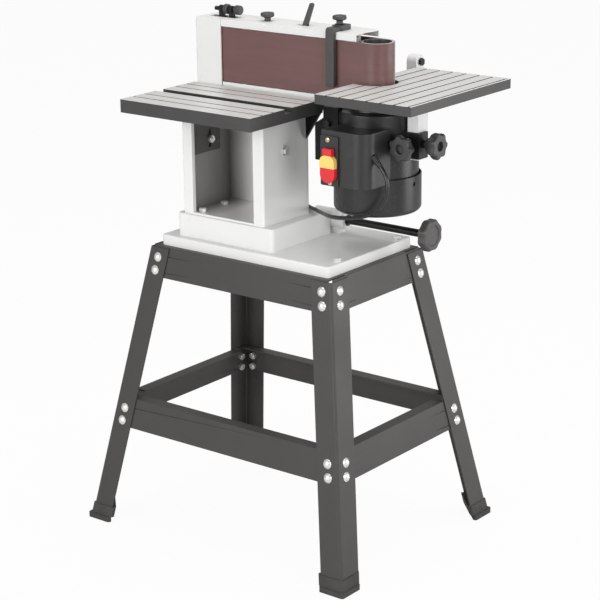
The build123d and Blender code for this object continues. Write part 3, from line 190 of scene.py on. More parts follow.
def coat_grain_group():
    """Three noises on Object coordinates: a fine grain for height, a slow mottle and thin scuffs,
    which are the last noise's high spots cut out with a soft edge."""
    details = {"Grain": 3.0, "Mottle": 5.0, "Scuff": 8.0}
    scuff_bend = 1.5
    scuff_edge = (0.60, 0.72)
    group = bpy.data.node_groups.new("coat_grain", "ShaderNodeTree")
    face = group.interface
    make = group.nodes.new
    link = group.links.new
    outlet = make("NodeGroupOutput")
    inlet = make("NodeGroupInput")
    place = make("ShaderNodeTexCoord")
    for name, detail in details.items():
        face.new_socket(f"{name} Scale", in_out="INPUT", socket_type="NodeSocketFloat")
        face.new_socket(name, in_out="OUTPUT", socket_type="NodeSocketFloat")
        noise = make("ShaderNodeTexNoise")
        noise.inputs["Detail"].default_value = detail
        link(place.outputs["Object"], noise.inputs["Vector"])
        link(inlet.outputs[f"{name} Scale"], noise.inputs["Scale"])
        mask = noise.outputs["Fac"]
        if name == "Scuff":
            noise.inputs["Distortion"].default_value = scuff_bend
            thin = make("ShaderNodeMapRange")
            thin.interpolation_type = "SMOOTHSTEP"
            thin.inputs["From Min"].default_value = scuff_edge[0]
            thin.inputs["From Max"].default_value = scuff_edge[1]
            link(mask, thin.inputs["Value"])
            mask = thin.outputs["Result"]
        link(mask, outlet.inputs[name])
    return group


coat_grain = coat_grain_group()


def grain_node(tree, grain_scale, mottle_scale, scuff_scale):
    """Places the shared grain group in a material with its own scales."""
    grain = tree.nodes.new("ShaderNodeGroup")
    grain.node_tree = coat_grain
    grain.inputs["Grain Scale"].default_value = grain_scale
    grain.inputs["Mottle Scale"].default_value = mottle_scale
    grain.inputs["Scuff Scale"].default_value = scuff_scale
    return grain


def shade(tree, source, low, high):
    """Maps a noise to a ramp between two colours and gives the colour socket."""
    ramp = tree.nodes.new("ShaderNodeValToRGB")
    for element, position, color in zip(ramp.color_ramp.elements, noise_reach, (low, high)):
        element.position = position
        element.color = (*color, 1.0)
    tree.links.new(source, ramp.inputs["Fac"])
    return ramp.outputs["Color"]


def spread(tree, source, low, high, reach=noise_reach):
    """Maps a source's reach to a range of values and gives the value socket."""
    span = tree.nodes.new("ShaderNodeMapRange")
    span.inputs["From Min"].default_value = reach[0]
    span.inputs["From Max"].default_value = reach[1]
    span.inputs["To Min"].default_value = low
    span.inputs["To Max"].default_value = high
    tree.links.new(source, span.inputs["Value"])
    return span.outputs["Result"]


def bump(tree, height, depth):
    """Turns a height into a normal; depth is the real height of the relief in metres."""
    relief = tree.nodes.new("ShaderNodeBump")
    relief.inputs["Distance"].default_value = depth
    tree.links.new(height, relief.inputs["Height"])
    return relief.outputs["Normal"]


def mixed(tree, mask, first, second, kind="RGBA"):
    """Mixes two colours or two values, each a socket or a constant, by a mask and gives the socket."""
    first_in, second_in, out = {"RGBA": (6, 7, 2), "FLOAT": (2, 3, 0)}[kind]
    mix = tree.nodes.new("ShaderNodeMix")
    mix.data_type = kind
    tree.links.new(mask, mix.inputs[0])
    feed(tree, first, mix.inputs[first_in])
    feed(tree, second, mix.inputs[second_in])
    return mix.outputs[out]


def coated(name, color, contrast, rough, grain_scale, grain_depth,
           mottle_scale=9.0, metallic=0.0, scuff=1.15, gloss=0.5):
    """A paint or moulding: a tone that drifts by its contrast, a roughness that follows it, fine grain,
    and scuffs that are duller, with scuff times the plain tone."""
    scuff_scale = 46.0
    plain_low, plain_high = 1.1 * rough, 0.9 * rough
    scuff_low, scuff_high = 1.3 * rough, 1.2 * rough
    material, tree, shader = blank_material(name)
    shader.inputs["Metallic"].default_value = metallic
    shader.inputs["Specular IOR Level"].default_value = gloss
    grain = grain_node(tree, grain_scale, mottle_scale, scuff_scale)
    mottle = grain.outputs["Mottle"]
    scuffed = grain.outputs["Scuff"]
    shares = (1.0 - contrast, 1.0 + contrast, scuff)
    dark, light, rubbed = ([min(1.0, c * share) for c in color] for share in shares)
    body = shade(tree, mottle, dark, light)
    tree.links.new(mixed(tree, scuffed, body, (*rubbed, 1.0)), shader.inputs["Base Color"])
    even = spread(tree, mottle, plain_low, plain_high)
    dull_and_shade = spread(tree, mottle, scuff_low, scuff_high)
    tree.links.new(mixed(tree, scuffed, even, dull_and_shade, "FLOAT"), shader.inputs["Roughness"])
    tree.links.new(bump(tree, grain.outputs["Grain"], grain_depth), shader.inputs["Normal"])
    return material


def bevelled(target, width, segments=3, sharp=34.0):
    """Rounds the edges that turn by more than a sharp angle in degrees, and evens the shading."""
    edge = target.modifiers.new("edge", "BEVEL")
    edge.width = width
    edge.segments = segments
    edge.limit_method = "ANGLE"
    edge.angle_limit = radians(sharp)
    even = target.modifiers.new("even", "WEIGHTED_NORMAL")
    even.keep_sharp = True


def dress(material, *names, edge=None):
    """Gives CAD nodes a material, and breaks their sharp edges where an edge width is given."""
    for name in names:
        node = nodes[name]
        node.data.materials.clear()
        node.data.materials.append(material)
        if edge:
            node.data.polygons.foreach_set("use_smooth", np.ones(len(node.data.polygons), bool))
            weld = node.modifiers.new("weld", "WELD")
            weld.merge_threshold = weld_reach
            bevelled(node, edge, segments=2, sharp=38.0)


stand_paint = coated("stand_powder_coat", color=(0.048, 0.045, 0.042), contrast=0.06, rough=0.42,
                     grain_scale=900.0, grain_depth=0.05 * mm, gloss=0.38)
legs = [f"leg_{end}_{side}" for end in ("front", "rear") for side in ("left", "right")]
bar_sides = ("front", "rear", "left", "right")
bars = [f"{kind}_{side}" for kind in ("top_rail", "brace") for side in bar_sides]
dress(stand_paint, *legs, *bars, edge=0.6 * mm)

# Boots: moulded rubber feet in two tiers, pushed over the legs' lower ends.
# The rubber is matt and near black, with a dusty bloom.
boot_rubber = coated("boot_rubber", color=(0.040, 0.038, 0.036), contrast=0.15, rough=0.70,
                     grain_scale=500.0, grain_depth=0.08 * mm, mottle_scale=30.0, scuff=1.5)
dress(boot_rubber, "rubber_feet", edge=1.0 * mm)

# Fasteners: domed carriage bolts with hex nuts in the stand, hex bolts in the base and pedestal,
# all in bright zinc plate.
bolt_zinc = coated("bolt_zinc", color=(0.80, 0.80, 0.78), contrast=0.08, rough=0.30,
                   grain_scale=260.0, grain_depth=0.02 * mm, mottle_scale=160.0, metallic=0.75)
dress(bolt_zinc, "stand_bolts")
dress(bolt_zinc, "stand_nuts", "base_bolts", "table_lock_bolts", edge=0.4 * mm)


# Base casting: a thick-rimmed plate with a raised step and the tilt barrel, cast in one
# and finished in a smooth off-white enamel with a slight ripple in the coat.
def enamelled(name, color, rough):
    """A pale enamel on a casting, nearly even in tone."""
    return coated(name, color, contrast=0.02, rough=rough,
                  grain_scale=160.0, grain_depth=0.04 * mm, scuff=0.97)


white_enamel = enamelled("white_enamel", color=(0.74, 0.74, 0.73), rough=0.32)
dress(white_enamel, "base_casting", edge=0.8 * mm)


# Pedestal: a channel casting open to the front, bolted down on the step. It is enamelled outside,
# while the inside of the bay is bare grey metal, darkened by painted shade towards its left wall.
def within(tree, value, low, high):
    """One where a value lies between two limits."""
    test = tree.nodes.new("ShaderNodeMath")
    test.operation = "COMPARE"
    test.inputs[1].default_value = (low + high) / 2
    test.inputs[2].default_value = (high - low) / 2
    tree.links.new(value, test.inputs[0])
    return test.outputs[0]


def brushed_lines(tree, scale):
    """A noise drawn out along one axis by its three scales on Object coordinates."""
    place = tree.nodes.new("ShaderNodeTexCoord")
    stretch = tree.nodes.new("ShaderNodeMapping")
    stretch.inputs["Scale"].default_value = scale
    tree.links.new(place.outputs["Object"], stretch.inputs["Vector"])
    lines = tree.nodes.new("ShaderNodeTexNoise")
    lines.inputs["Scale"].default_value = 1.0
    lines.inputs["Detail"].default_value = 5.0
    tree.links.new(stretch.outputs["Vector"], lines.inputs["Vector"])
    return lines.outputs["Fac"]


def split_place(tree):
    """The X, Y and Z sockets of a point's Object coordinates."""
    place = tree.nodes.new("ShaderNodeTexCoord")
    split = tree.nodes.new("ShaderNodeSeparateXYZ")
    tree.links.new(place.outputs["Object"], split.inputs["Vector"])
    return split.outputs


def pedestal_finish_and_shade():
    """Enamel outside; bare metal with fine upright lines inside the bay, with painted shade that darkens
    it towards its left wall.
    """
    low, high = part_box("pedestal")
    cast_wall = 8.0 * mm
    skin = 0.4 * mm
    shade_share = 0.40
    metal_share = 0.35
    material, tree, shader = blank_material("pedestal_finish_and_shade")
    place = split_place(tree)
    bay_x = within(tree, place["X"], low.x + cast_wall - skin, high.x - cast_wall + skin)
    bay_y = within(tree, place["Y"], low.y + cast_wall - skin, high.y + cast_wall)
    bare = product(tree, bay_x, bay_y)
    lines = brushed_lines(tree, (900.0, 900.0, 7.0))
    grain = grain_node(tree, grain_scale=160.0, mottle_scale=9.0, scuff_scale=30.0)
    enamel = shade(tree, grain.outputs["Mottle"], (0.73, 0.73, 0.72), (0.76, 0.76, 0.75))
    # The bay's metal is a ramp of painted shade: dark at the left wall, where the walls shade it, and pale
    # further right.
    dull_and_shade = shade(tree, lines, (0.22, 0.215, 0.21), (0.26, 0.255, 0.25))
    bright = shade(tree, lines, (0.90, 0.88, 0.865), (0.98, 0.96, 0.945))
    shade_stretch = (low.x + cast_wall, low.x + shade_share * (high.x - low.x))
    metal = mixed(tree, spread(tree, place["X"], 0.0, 1.0, shade_stretch), dull_and_shade, bright)
    tree.links.new(mixed(tree, bare, enamel, metal), shader.inputs["Base Color"])
    tree.links.new(product(tree, bare, metal_share), shader.inputs["Metallic"])
    coat = spread(tree, grain.outputs["Mottle"], 0.34, 0.30)
    drawn = spread(tree, lines, 0.40, 0.35)
    tree.links.new(mixed(tree, bare, coat, drawn, "FLOAT"), shader.inputs["Roughness"])
    relief = mixed(tree, bare, grain.outputs["Grain"], lines, "FLOAT")
    tree.links.new(bump(tree, relief, 0.01 * mm), shader.inputs["Normal"])
    return material


dress(pedestal_finish_and_shade(), "pedestal", edge=0.8 * mm)


# Work table: an aluminium casting ground on top and grooved, painted dark grey below its top face,
# carried by a folded dark-grey bracket that slides in the pedestal.
def table_finish(name, node, along_x):
    """Ground metal with lines along the grooves from just under the top upwards, dark paint below."""
    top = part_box(node)[1].z
    ground_skin = 0.4 * mm
    metal_share = 0.50
    material, tree, shader = blank_material(name)

    def groove_lines(along, across):
        """Brushed lines that run the way of the grooves."""
        return brushed_lines(tree, (along, across, 1.0) if along_x else (across, along, 1.0))

    ground = within(tree, split_place(tree)["Z"], top - ground_skin, top + 1.0)
    fine = groove_lines(5.0, 900.0)
    broad = groove_lines(2.5, 90.0)
    lines = mixed(tree, fine, broad, fine, "FLOAT")
    grain = grain_node(tree, grain_scale=700.0, mottle_scale=14.0, scuff_scale=40.0)
    metal = shade(tree, lines, (0.56, 0.55, 0.535), (0.74, 0.73, 0.715))
    paint = shade(tree, grain.outputs["Mottle"], (0.036, 0.034, 0.034), (0.044, 0.042, 0.042))
    tree.links.new(mixed(tree, ground, paint, metal), shader.inputs["Base Color"])
    tree.links.new(product(tree, ground, metal_share), shader.inputs["Metallic"])
    tree.links.new(spread(tree, lines, 0.52, 0.40), shader.inputs["Roughness"])
    relief = mixed(tree, ground, grain.outputs["Grain"], fine, "FLOAT")
    tree.links.new(bump(tree, relief, 0.04 * mm), shader.inputs["Normal"])
    return material


def sprayed(name, color, rough, gloss=0.5):
    """A dark sprayed coat on sheet steel or bar, rubbed paler in places."""
    return coated(name, color, contrast=0.10, rough=rough,
                  grain_scale=420.0, grain_depth=0.04 * mm, scuff=1.6, gloss=gloss)


dress(table_finish("work_table_metal", "main_table", along_x=True), "main_table")
bracket_grey = sprayed("bracket_grey", color=(0.060, 0.058, 0.057), rough=0.40)
dress(bracket_grey, "table_bracket", edge=0.5 * mm)


# Tilt pivot: a blackened shaft pinned in the arm's white bracket and turning in the base barrel.
# A black rod through it ends in a big lobed knob of grey moulded plastic that locks the tilt.
def unit(vector):
    """A vector scaled to length one."""
    return np.asarray(vector, float) / np.linalg.norm(vector)


def turn_angles(columns):
    """Even angles round one full turn."""
    return np.linspace(0.0, 2 * pi, columns, endpoint=False)


def ways_out(axis, angles):
    """The ways straight out from an axis at a row of angles: the cosine along one vector square to it
    and the sine along the other."""
    steep = 0.9
    upright = abs(axis[2]) >= steep
    side = unit(np.cross(axis, (1.0, 0.0, 0.0) if upright else (0.0, 0.0, 1.0)))
    return np.cos(angles)[:, None] * side + np.sin(angles)[:, None] * np.cross(axis, side)


def revolved(profile, origin, axis, rim):
    """A profile turned about an axis. A row gives the place along the axis, the radius and the share
    of the rim's relief that it takes; the rim gives one factor of the radius for each column."""
    along, radius, share = (np.array(profile, float) * (mm, mm, 1.0)).T
    axis = unit(axis)
    reach = radius[:, None] * (1.0 - share[:, None] * (1.0 - rim))
    out = ways_out(axis, turn_angles(len(rim)))
    return np.asarray(origin) + along[:, None, None] * axis + reach[..., None] * out


def lobed_rim(lobes, columns=168, reach=1.42, size=0.52, crest=26.0):
    """Factors of a disc's radius with a ring of round finger hollows: along each ray the nearer of the
    rim and a hollow's circle, blended so that the crests between the hollows are round."""
    step = 2 * pi / lobes
    off = (turn_angles(columns) + step / 2) % step - step / 2
    half_chord = np.sqrt(np.clip(size ** 2 - (reach * np.sin(off)) ** 2, 0.0, None))
    hollow = reach * np.cos(off) - half_chord
    return -np.log(np.exp(-crest) + np.exp(-crest * hollow)) / crest


def piece(name, grid, material, body, smooth_angle=34.0):
    """A mesh from a grid of points, one quad to a cell, closed round its columns; rows that run into
    one point close to a pole when doubles are merged."""
    rows, columns = grid.shape[:2]
    index = np.arange(rows * columns).reshape(rows, columns)
    index = np.hstack([index, index[:, :1]])
    corners = (index[:-1, :-1], index[:-1, 1:], index[1:, 1:], index[1:, :-1])
    quads = np.stack(corners, axis=-1).reshape(-1, 4)
    mesh = bpy.data.meshes.new(name)
    mesh.from_pydata(grid.reshape(-1, 3).tolist(), [], quads.tolist())
    shell = bmesh.new()
    shell.from_mesh(mesh)
    bmesh.ops.remove_doubles(shell, verts=shell.verts, dist=weld_reach)
    bmesh.ops.recalc_face_normals(shell, faces=shell.faces)
    shell.to_mesh(mesh)
    shell.free()
    mesh.polygons.foreach_set("use_smooth", np.ones(len(mesh.polygons), bool))
    mesh.set_sharp_from_angle(angle=radians(smooth_angle))
    mesh.materials.append(material)
    made = bpy.data.objects.new(name, mesh)
    scene.collection.objects.link(made)
    if body:
        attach(made, body)
    return made


def moulded(name, color):
    """A satin moulded plastic with a fine tooth."""
    return coated(name, color, contrast=0.08, rough=0.42,
                  grain_scale=600.0, grain_depth=0.06 * mm, mottle_scale=40.0, scuff=1.3)


pivots = {joint["name"]: np.array(joint["pos_m"]) for joint in frame["joints"] if "pos_m" in joint}
satin_black = sprayed("satin_black", color=(0.009, 0.009, 0.0095), rough=0.36, gloss=0.3)
dress(satin_black, "pivot_shaft")
dress(white_enamel, "tilt_bracket", edge=0.8 * mm)
plain_rim = np.ones(48)
lock_axis = (1, 0, 0)
lock_y, lock_z = pivots["lock_turn"][1:]
lock_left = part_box("lock_knob")[0].x
rod_low, rod_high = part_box("lock_rod")
rod_core = 5.5
rod_r = 7.2
rod_grip = 25.6
rod_seat = (lock_left - rod_low.x) / mm
rod_length = (rod_high.x - rod_low.x) / mm
rod_profile = [
    (0.0, 0.0, 0), (0.0, rod_core, 0), (rod_grip, rod_core, 0), (rod_grip, rod_r, 0),
    (rod_seat, rod_r, 0), (rod_seat, rod_core, 0), (rod_length, rod_core, 0), (rod_length, 0.0, 0),
]
rod_grid = revolved(rod_profile, (rod_low.x, lock_y, lock_z), lock_axis, plain_rim)
rod = piece("lock_handle_rod", rod_grid, satin_black, "tilt_lock")
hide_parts("lock_rod")
lock_plastic = moulded("lock_plastic", color=(0.062, 0.060, 0.058))
lock_knob_profile = [
    (2.0, 0.0, 0), (2.0, 13.0, 0), (0.0, 14.0, 0), (0.0, 26.5, 1), (3.0, 30.5, 1), (15.0, 30.5, 1),
    (18.0, 27.5, 1), (18.0, 19.6, 0.4), (15.5, 18.2, 0.2), (15.5, 6.0, 0), (15.8, 5.5, 0),
    (15.8, 0.0, 0),
]
lock_rim = lobed_rim(lobes=8, reach=1.9, size=0.97, crest=40.0)
lock_grid = revolved(lock_knob_profile, (lock_left, lock_y, lock_z), lock_axis, lock_rim)
lock_knob = piece("lock_hand_knob", lock_grid, lock_plastic, "tilt_lock")
bevelled(lock_knob, 1.2 * mm)
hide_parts("lock_knob")

# Belt arm: a white cast frame with a folded top plate, a left end cover and the rear post,
# in an enamel a little greyer than the base's, with the steel platen behind the belt.
arm_enamel = enamelled("arm_enamel", color=(0.68, 0.68, 0.67), rough=0.34)
dress(arm_enamel, "arm_frame", "top_plate", "end_cover", "rear_post", edge=0.6 * mm)
ground_steel = coated("ground_steel", color=(0.55, 0.55, 0.55), contrast=0.06, rough=0.30,
                      grain_scale=900.0, grain_depth=0.01 * mm, mottle_scale=60.0, metallic=1.0)
dress(ground_steel, "platen")
dress(satin_black, "arm_bolts", edge=0.4 * mm)


# Sanding belt: red-brown grit bonded to cloth, dull, with a sandy tooth and faint streaks
# along the way it runs.
def grit_finish():
    """A fine grit noise and streaks drawn out along the belt share the tone; the grit gives the relief."""
    material, tree, shader = blank_material("belt_grit")
    grain = grain_node(tree, grain_scale=1500.0, mottle_scale=20.0, scuff_scale=60.0)
    grit = grain.outputs["Grain"]
    streak = brushed_lines(tree, (4.0, 4.0, 60.0))
    both = mixed(tree, grain.outputs["Mottle"], grit, streak, "FLOAT")
    tone = shade(tree, both, (0.084, 0.031, 0.029), (0.140, 0.056, 0.052))
    tree.links.new(tone, shader.inputs["Base Color"])
    tree.links.new(spread(tree, streak, 0.50, 0.42), shader.inputs["Roughness"])
    shader.inputs["Specular IOR Level"].default_value = 0.65
    shader.inputs["Sheen Weight"].default_value = 0.55
    shader.inputs["Sheen Roughness"].default_value = 0.36
    tree.links.new(bump(tree, grit, 0.15 * mm), shader.inputs["Normal"])
    return material


dress(grit_finish(), "sanding_belt")


# Drums: turned aluminium. The drive drum is open at the top, with painted shade inside, and sits on the
# motor shaft;
# the idler runs on an axle in its black sliding carriage.
def drum_metal_and_shade(inside_r):
    """Bright turned metal on the rim and outside; a dark grey of painted shade nearer to the upright axis
    than inside_r.
    """
    # Painted shade: this dark grey stands for the shade inside the drum's open top.
    dull_and_shade = (0.16, 0.16, 0.16, 1.0)
    axis_x, axis_y = pivots["drive_spin"][:2]
    material = coated("drum_metal_and_shade", color=(0.86, 0.86, 0.86), contrast=0.04, rough=0.30,
                      grain_scale=700.0, grain_depth=0.01 * mm, mottle_scale=80.0, metallic=0.8)
    tree = material.node_tree
    shader = tree.nodes["Principled BSDF"]
    place = tree.nodes.new("ShaderNodeTexCoord")
    flat = tree.nodes.new("ShaderNodeVectorMath")
    flat.operation = "MULTIPLY_ADD"
    flat.inputs[1].default_value = (1.0, 1.0, 0.0)
    flat.inputs[2].default_value = (-axis_x, -axis_y, 0.0)
    tree.links.new(place.outputs["Object"], flat.inputs[0])
    reach = tree.nodes.new("ShaderNodeVectorMath")
    reach.operation = "LENGTH"
    tree.links.new(flat.outputs["Vector"], reach.inputs[0])
    inside = within(tree, reach.outputs["Value"], -1.0, inside_r)
    turned = shader.inputs["Base Color"].links[0].from_socket
    tree.links.new(mixed(tree, inside, turned, dull_and_shade), shader.inputs["Base Color"])
    return material


dress(drum_metal_and_shade(inside_r=26.3 * mm), "drive_drum")
drum_metal = coated("drum_metal", color=(0.74, 0.74, 0.74), contrast=0.05, rough=0.28,
                    grain_scale=700.0, grain_depth=0.01 * mm, mottle_scale=80.0, metallic=0.9)
dress(drum_metal, "idler_drum")
dress(ground_steel, "motor_shaft", "idler_axle")
dress(satin_black, "idler_carriage", edge=0.5 * mm)


# Tracking set: a black threaded screw through the carriage's two posts, with a knurled lock wheel
# between them and a knurled thumb knob at its right end.
def threaded(start, end, axis, radius, pitch, depth):
    """A rod whose radius drops by a triangle wave: twice the distance to the nearest whole number of
    the place along it in pitches less the share of a turn. Its ends close to a point."""
    length = np.linalg.norm(np.subtract(end, start))
    rows_per_pitch = 8
    columns = 24
    along = np.linspace(0.0, length, int(length / pitch) * rows_per_pitch)[:, None]
    angles = turn_angles(columns)
    wave = 2.0 * np.abs((along / pitch - angles / (2 * pi) + 0.5) % 1.0 - 0.5)
    reach = radius - depth * wave
    reach[[0, -1]] = 0.0
    out = ways_out(axis, angles)
    return np.asarray(start) + along[..., None] * np.asarray(axis) + reach[..., None] * out


def raised_cosine(angles):
    """A smooth wave between nought and one."""
    return 0.5 + 0.5 * np.cos(angles)


def knurled_rim(teeth):
    """Factors of a radius with fine upright teeth: a raised cosine round the rim."""
    columns_per_tooth = 6
    tooth_depth = 0.06
    return 1.0 - tooth_depth * raised_cosine(teeth * turn_angles(teeth * columns_per_tooth))


knob_plastic = moulded("knob_plastic", color=(0.038, 0.037, 0.036))
track_axis = (1.0, 0.0, 0.0)
track_left, track_right = (corner.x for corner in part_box("tracking_screw"))
track_x, track_y, track_z = pivots["tracking_turn"]
thread_stop = 2.0 * mm
wheel_place = 7.0 * mm
thumb_length = 14.0
track_start = (track_left, track_y, track_z)
track_end = (track_right - thread_stop, track_y, track_z)
track_grid = threaded(track_start, track_end, track_axis, radius=4.0 * mm, pitch=1.5 * mm, depth=0.7 * mm)
track_rod = piece("tracking_thread", track_grid, satin_black, "tracking", smooth_angle=60.0)
wheel_profile = [(0, 4, 0), (0, 8, 0), (1.2, 9.5, 1), (8.8, 9.5, 1), (10, 8, 0), (10, 4, 0)]
wheel_seat = (track_x + wheel_place, track_y, track_z)
wheel_grid = revolved(wheel_profile, wheel_seat, track_axis, knurled_rim(teeth=22))
track_wheel = piece("tracking_lock_wheel", wheel_grid, knob_plastic, "tracking")
thumb_profile = [
    (0, 0, 0), (0, 6, 0), (2, 6.4, 0), (2.6, 9, 1), (12.6, 9, 1), (thumb_length, 7.6, 0),
    (thumb_length, 0, 0),
]
thumb_seat = (track_right - thumb_length * mm, track_y, track_z)
thumb_grid = revolved(thumb_profile, thumb_seat, track_axis, knurled_rim(teeth=20))
track_thumb = piece("tracking_thumb_knob", thumb_grid, knob_plastic, "tracking")
for made in (track_wheel, track_thumb):
    bevelled(made, 0.5 * mm, segments=2)
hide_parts("tracking_screw")

# Tension lever, cover knob and work stop: the lever and the bent stop bar are grey painted steel,
# and two small star knobs hold the top plate and the stop.
lever_grey = coated("lever_grey", color=(0.046, 0.045, 0.043), contrast=0.08, rough=0.42,
                    grain_scale=500.0, grain_depth=0.05 * mm, scuff=1.3)
dress(lever_grey, "tension_lever", "stop_bar", edge=0.9 * mm)


def round_bar(start, end, radius):
    """The profile of a plain disc or bar: out at its start, along, and in at its end."""
    return [(start, 0.0, 0), (start, radius, 0), (end, radius, 0), (end, 0.0, 0)]


upward = (0, 0, 1)
star_height = 16.0
star_profile = [
    (0.0, 0.0, 0), (0.0, 6.0, 0), (6.0, 6.0, 0), (7.0, 9.5, 0.6), (8.6, 12.6, 1), (9.6, 13.0, 1),
    (14.0, 13.0, 1), (15.4, 11.4, 1), (star_height, 7.0, 0.3), (star_height, 0.0, 0),
]
star_rim = lobed_rim(lobes=7)
stud_r = 3.0
stud_overlap = 1.0
for node, body in (("cover_knob", "cap_knob"), ("stop_knob", "stop_clamp")):
    knob_x, knob_y = pivots[f"{node}_turn"][:2]
    knob_foot, knob_top = (corner.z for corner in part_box(node))
    star_seat = (knob_x, knob_y, knob_top - star_height * mm)
    star_grid = revolved(star_profile, star_seat, upward, star_rim)
    star = piece(f"{node}_star", star_grid, knob_plastic, body)
    bevelled(star, 0.7 * mm)
    stud_length = (star_seat[2] - knob_foot) / mm + stud_overlap
    stud_profile = round_bar(0.0, stud_length, stud_r)
    stud_grid = revolved(stud_profile, (knob_x, knob_y, knob_foot), upward, plain_rim)
    piece(f"{node}_stud", stud_grid, bolt_zinc, body)
    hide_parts(node)
washer_r = 9.0
washer_height = 1.2
washer_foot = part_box("stop_knob")[1].z - (star_height + washer_height) * mm
washer_seat = (*pivots["stop_knob_turn"][:2], washer_foot)
washer_grid = revolved(round_bar(0.0, washer_height, washer_r), washer_seat, upward, plain_rim)
piece("stop_washer", washer_grid, satin_black, "stop_clamp")

# Motor: a rolled shell with a fan cover below it, in semi-gloss black, hung under the arm
# by a black folded plate that also carries the switch.
motor_black = coated("motor_black", color=(0.015, 0.015, 0.015), contrast=0.08, rough=0.28,
                     grain_scale=300.0, grain_depth=0.02 * mm, scuff=1.3)
dress(motor_black, "motor_body", "fan_cover", edge=0.8 * mm)
dress(motor_black, "cooling_fan")
plate_black = sprayed("plate_black", color=(0.004, 0.004, 0.004), rough=0.34, gloss=0.2)
dress(plate_black, "mount_plate", edge=0.5 * mm)

# End table: a grooved casting like the work table, on a white bar held in a black clamp
# by two seven-lobed hand knobs, each on a nut and a tapered hub.
dress(table_finish("end_table_metal", "end_table", along_x=False), "end_table")
dress(white_enamel, "table_bar", edge=0.8 * mm)
dress(satin_black, "bar_clamp", edge=0.6 * mm)
hand_profile = [
    (9.0, 0.0, 0), (9.0, 11.6, 0), (10.0, 12.2, 0), (15.0, 14.0, 0.2), (17.0, 17.5, 0.8),
    (20.0, 21.5, 1), (26.0, 24.5, 1), (33.4, 24.5, 1), (36.0, 22.2, 1), (36.0, 9.4, 0),
    (35.2, 8.6, 0), (28.0, 8.2, 0), (27.5, 0.0, 0),
]
hand_rim = lobed_rim(lobes=7, reach=1.40, size=0.55, crest=34.0)
nut_gap = 0.3
nut_profile = round_bar(start=nut_gap, end=9.6, radius=7.5)
nut_rim = np.ones(6)
front_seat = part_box("front_knob")[1].y + nut_gap * mm
side_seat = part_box("side_knob")[0].x - nut_gap * mm
hand_knobs = (
    ("front_knob", "front_clamp", (0, -1, 0), front_seat),
    ("side_knob", "side_clamp", (1, 0, 0), side_seat),
)
for node, body, axis, level in hand_knobs:
    # The seat lies on the joint's own line, at its level along the axis.
    seat = np.where(axis, level, pivots[f"{node}_turn"])
    hand_grid = revolved(hand_profile, seat, axis, hand_rim)
    hand = piece(f"{node}_hand", hand_grid, knob_plastic, body)
    bevelled(hand, 1.0 * mm)
    nut_grid = revolved(nut_profile, seat, axis, nut_rim)
    nut = piece(f"{node}_nut", nut_grid, satin_black, body)
    bevelled(nut, 0.5 * mm, segments=2)
    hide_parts(node)

# Switch: a black moulded box on the motor's side with a raised plate, a red stop paddle
# and a yellow key that straddles it. Two cross-head screws in yellow zinc hold the plate.
switch_black = coated("switch_black", color=(0.020, 0.020, 0.021), contrast=0.08, rough=0.38,
                      grain_scale=800.0, grain_depth=0.03 * mm, scuff=1.3)
paddle_red = coated("paddle_red", color=(0.66, 0.022, 0.030), contrast=0.05, rough=0.30,
                    grain_scale=300.0, grain_depth=0.02 * mm, scuff=1.05)
key_yellow = coated("key_yellow", color=(0.92, 0.60, 0.16), contrast=0.04, rough=0.32,
                    grain_scale=300.0, grain_depth=0.02 * mm, scuff=1.03)
dress(switch_black, "switch_box", "switch_plate", edge=1.0 * mm)
dress(paddle_red, "paddle", edge=0.8 * mm)
dress(key_yellow, "safety_key", edge=0.8 * mm)


def cross_head(origin, axis, radius, height):
    """A pan head with a cross recess: a dome over polar rings, less a cross whose walls slope;
    the last ring drops to the seat. The sizes below are shares of the radius and the height."""
    rings = 26
    columns = 72
    arm_half = 0.15
    arm_slope = 0.06
    arm_reach = 0.56
    end_slope = 0.08
    dome_drop = 0.45
    dome_power = 2.4
    recess = 0.55
    ring = np.append(np.linspace(0.0, 1.0, rings), 1.0)[:, None]
    angles = turn_angles(columns)
    x = np.abs(ring * np.cos(angles))
    y = np.abs(ring * np.sin(angles))
    in_width = np.clip((arm_half - np.minimum(x, y)) / arm_slope, 0.0, 1.0)
    in_length = np.clip((arm_reach - np.maximum(x, y)) / end_slope, 0.0, 1.0)
    dome = 1.0 - dome_drop * ring ** dome_power
    lift = height * (dome - recess * in_width * in_length)
    lift[-1] = 0.0
    axis = unit(axis)
    return np.asarray(origin) + radius * ring[..., None] * ways_out(axis, angles) + lift[..., None] * axis


yellow_zinc = coated("yellow_zinc", color=(0.66, 0.58, 0.34), contrast=0.12, rough=0.30,
                     grain_scale=400.0, grain_depth=0.01 * mm, mottle_scale=120.0, metallic=0.8)
plate_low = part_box("switch_plate")[0]
screw_r = 4.4 * mm
screw_height = 2.2 * mm
screw_spots = {"upper": (16.3 * mm, 83.0 * mm), "lower": (21.2 * mm, 5.8 * mm)}
for name, (right, rise) in screw_spots.items():
    seat = (plate_low.x + right, plate_low.y, plate_low.z + rise)
    screw_grid = cross_head(seat, (0, -1, 0), screw_r, screw_height)
    piece(f"switch_screw_{name}", screw_grid, yellow_zinc, "arm", smooth_angle=50.0)

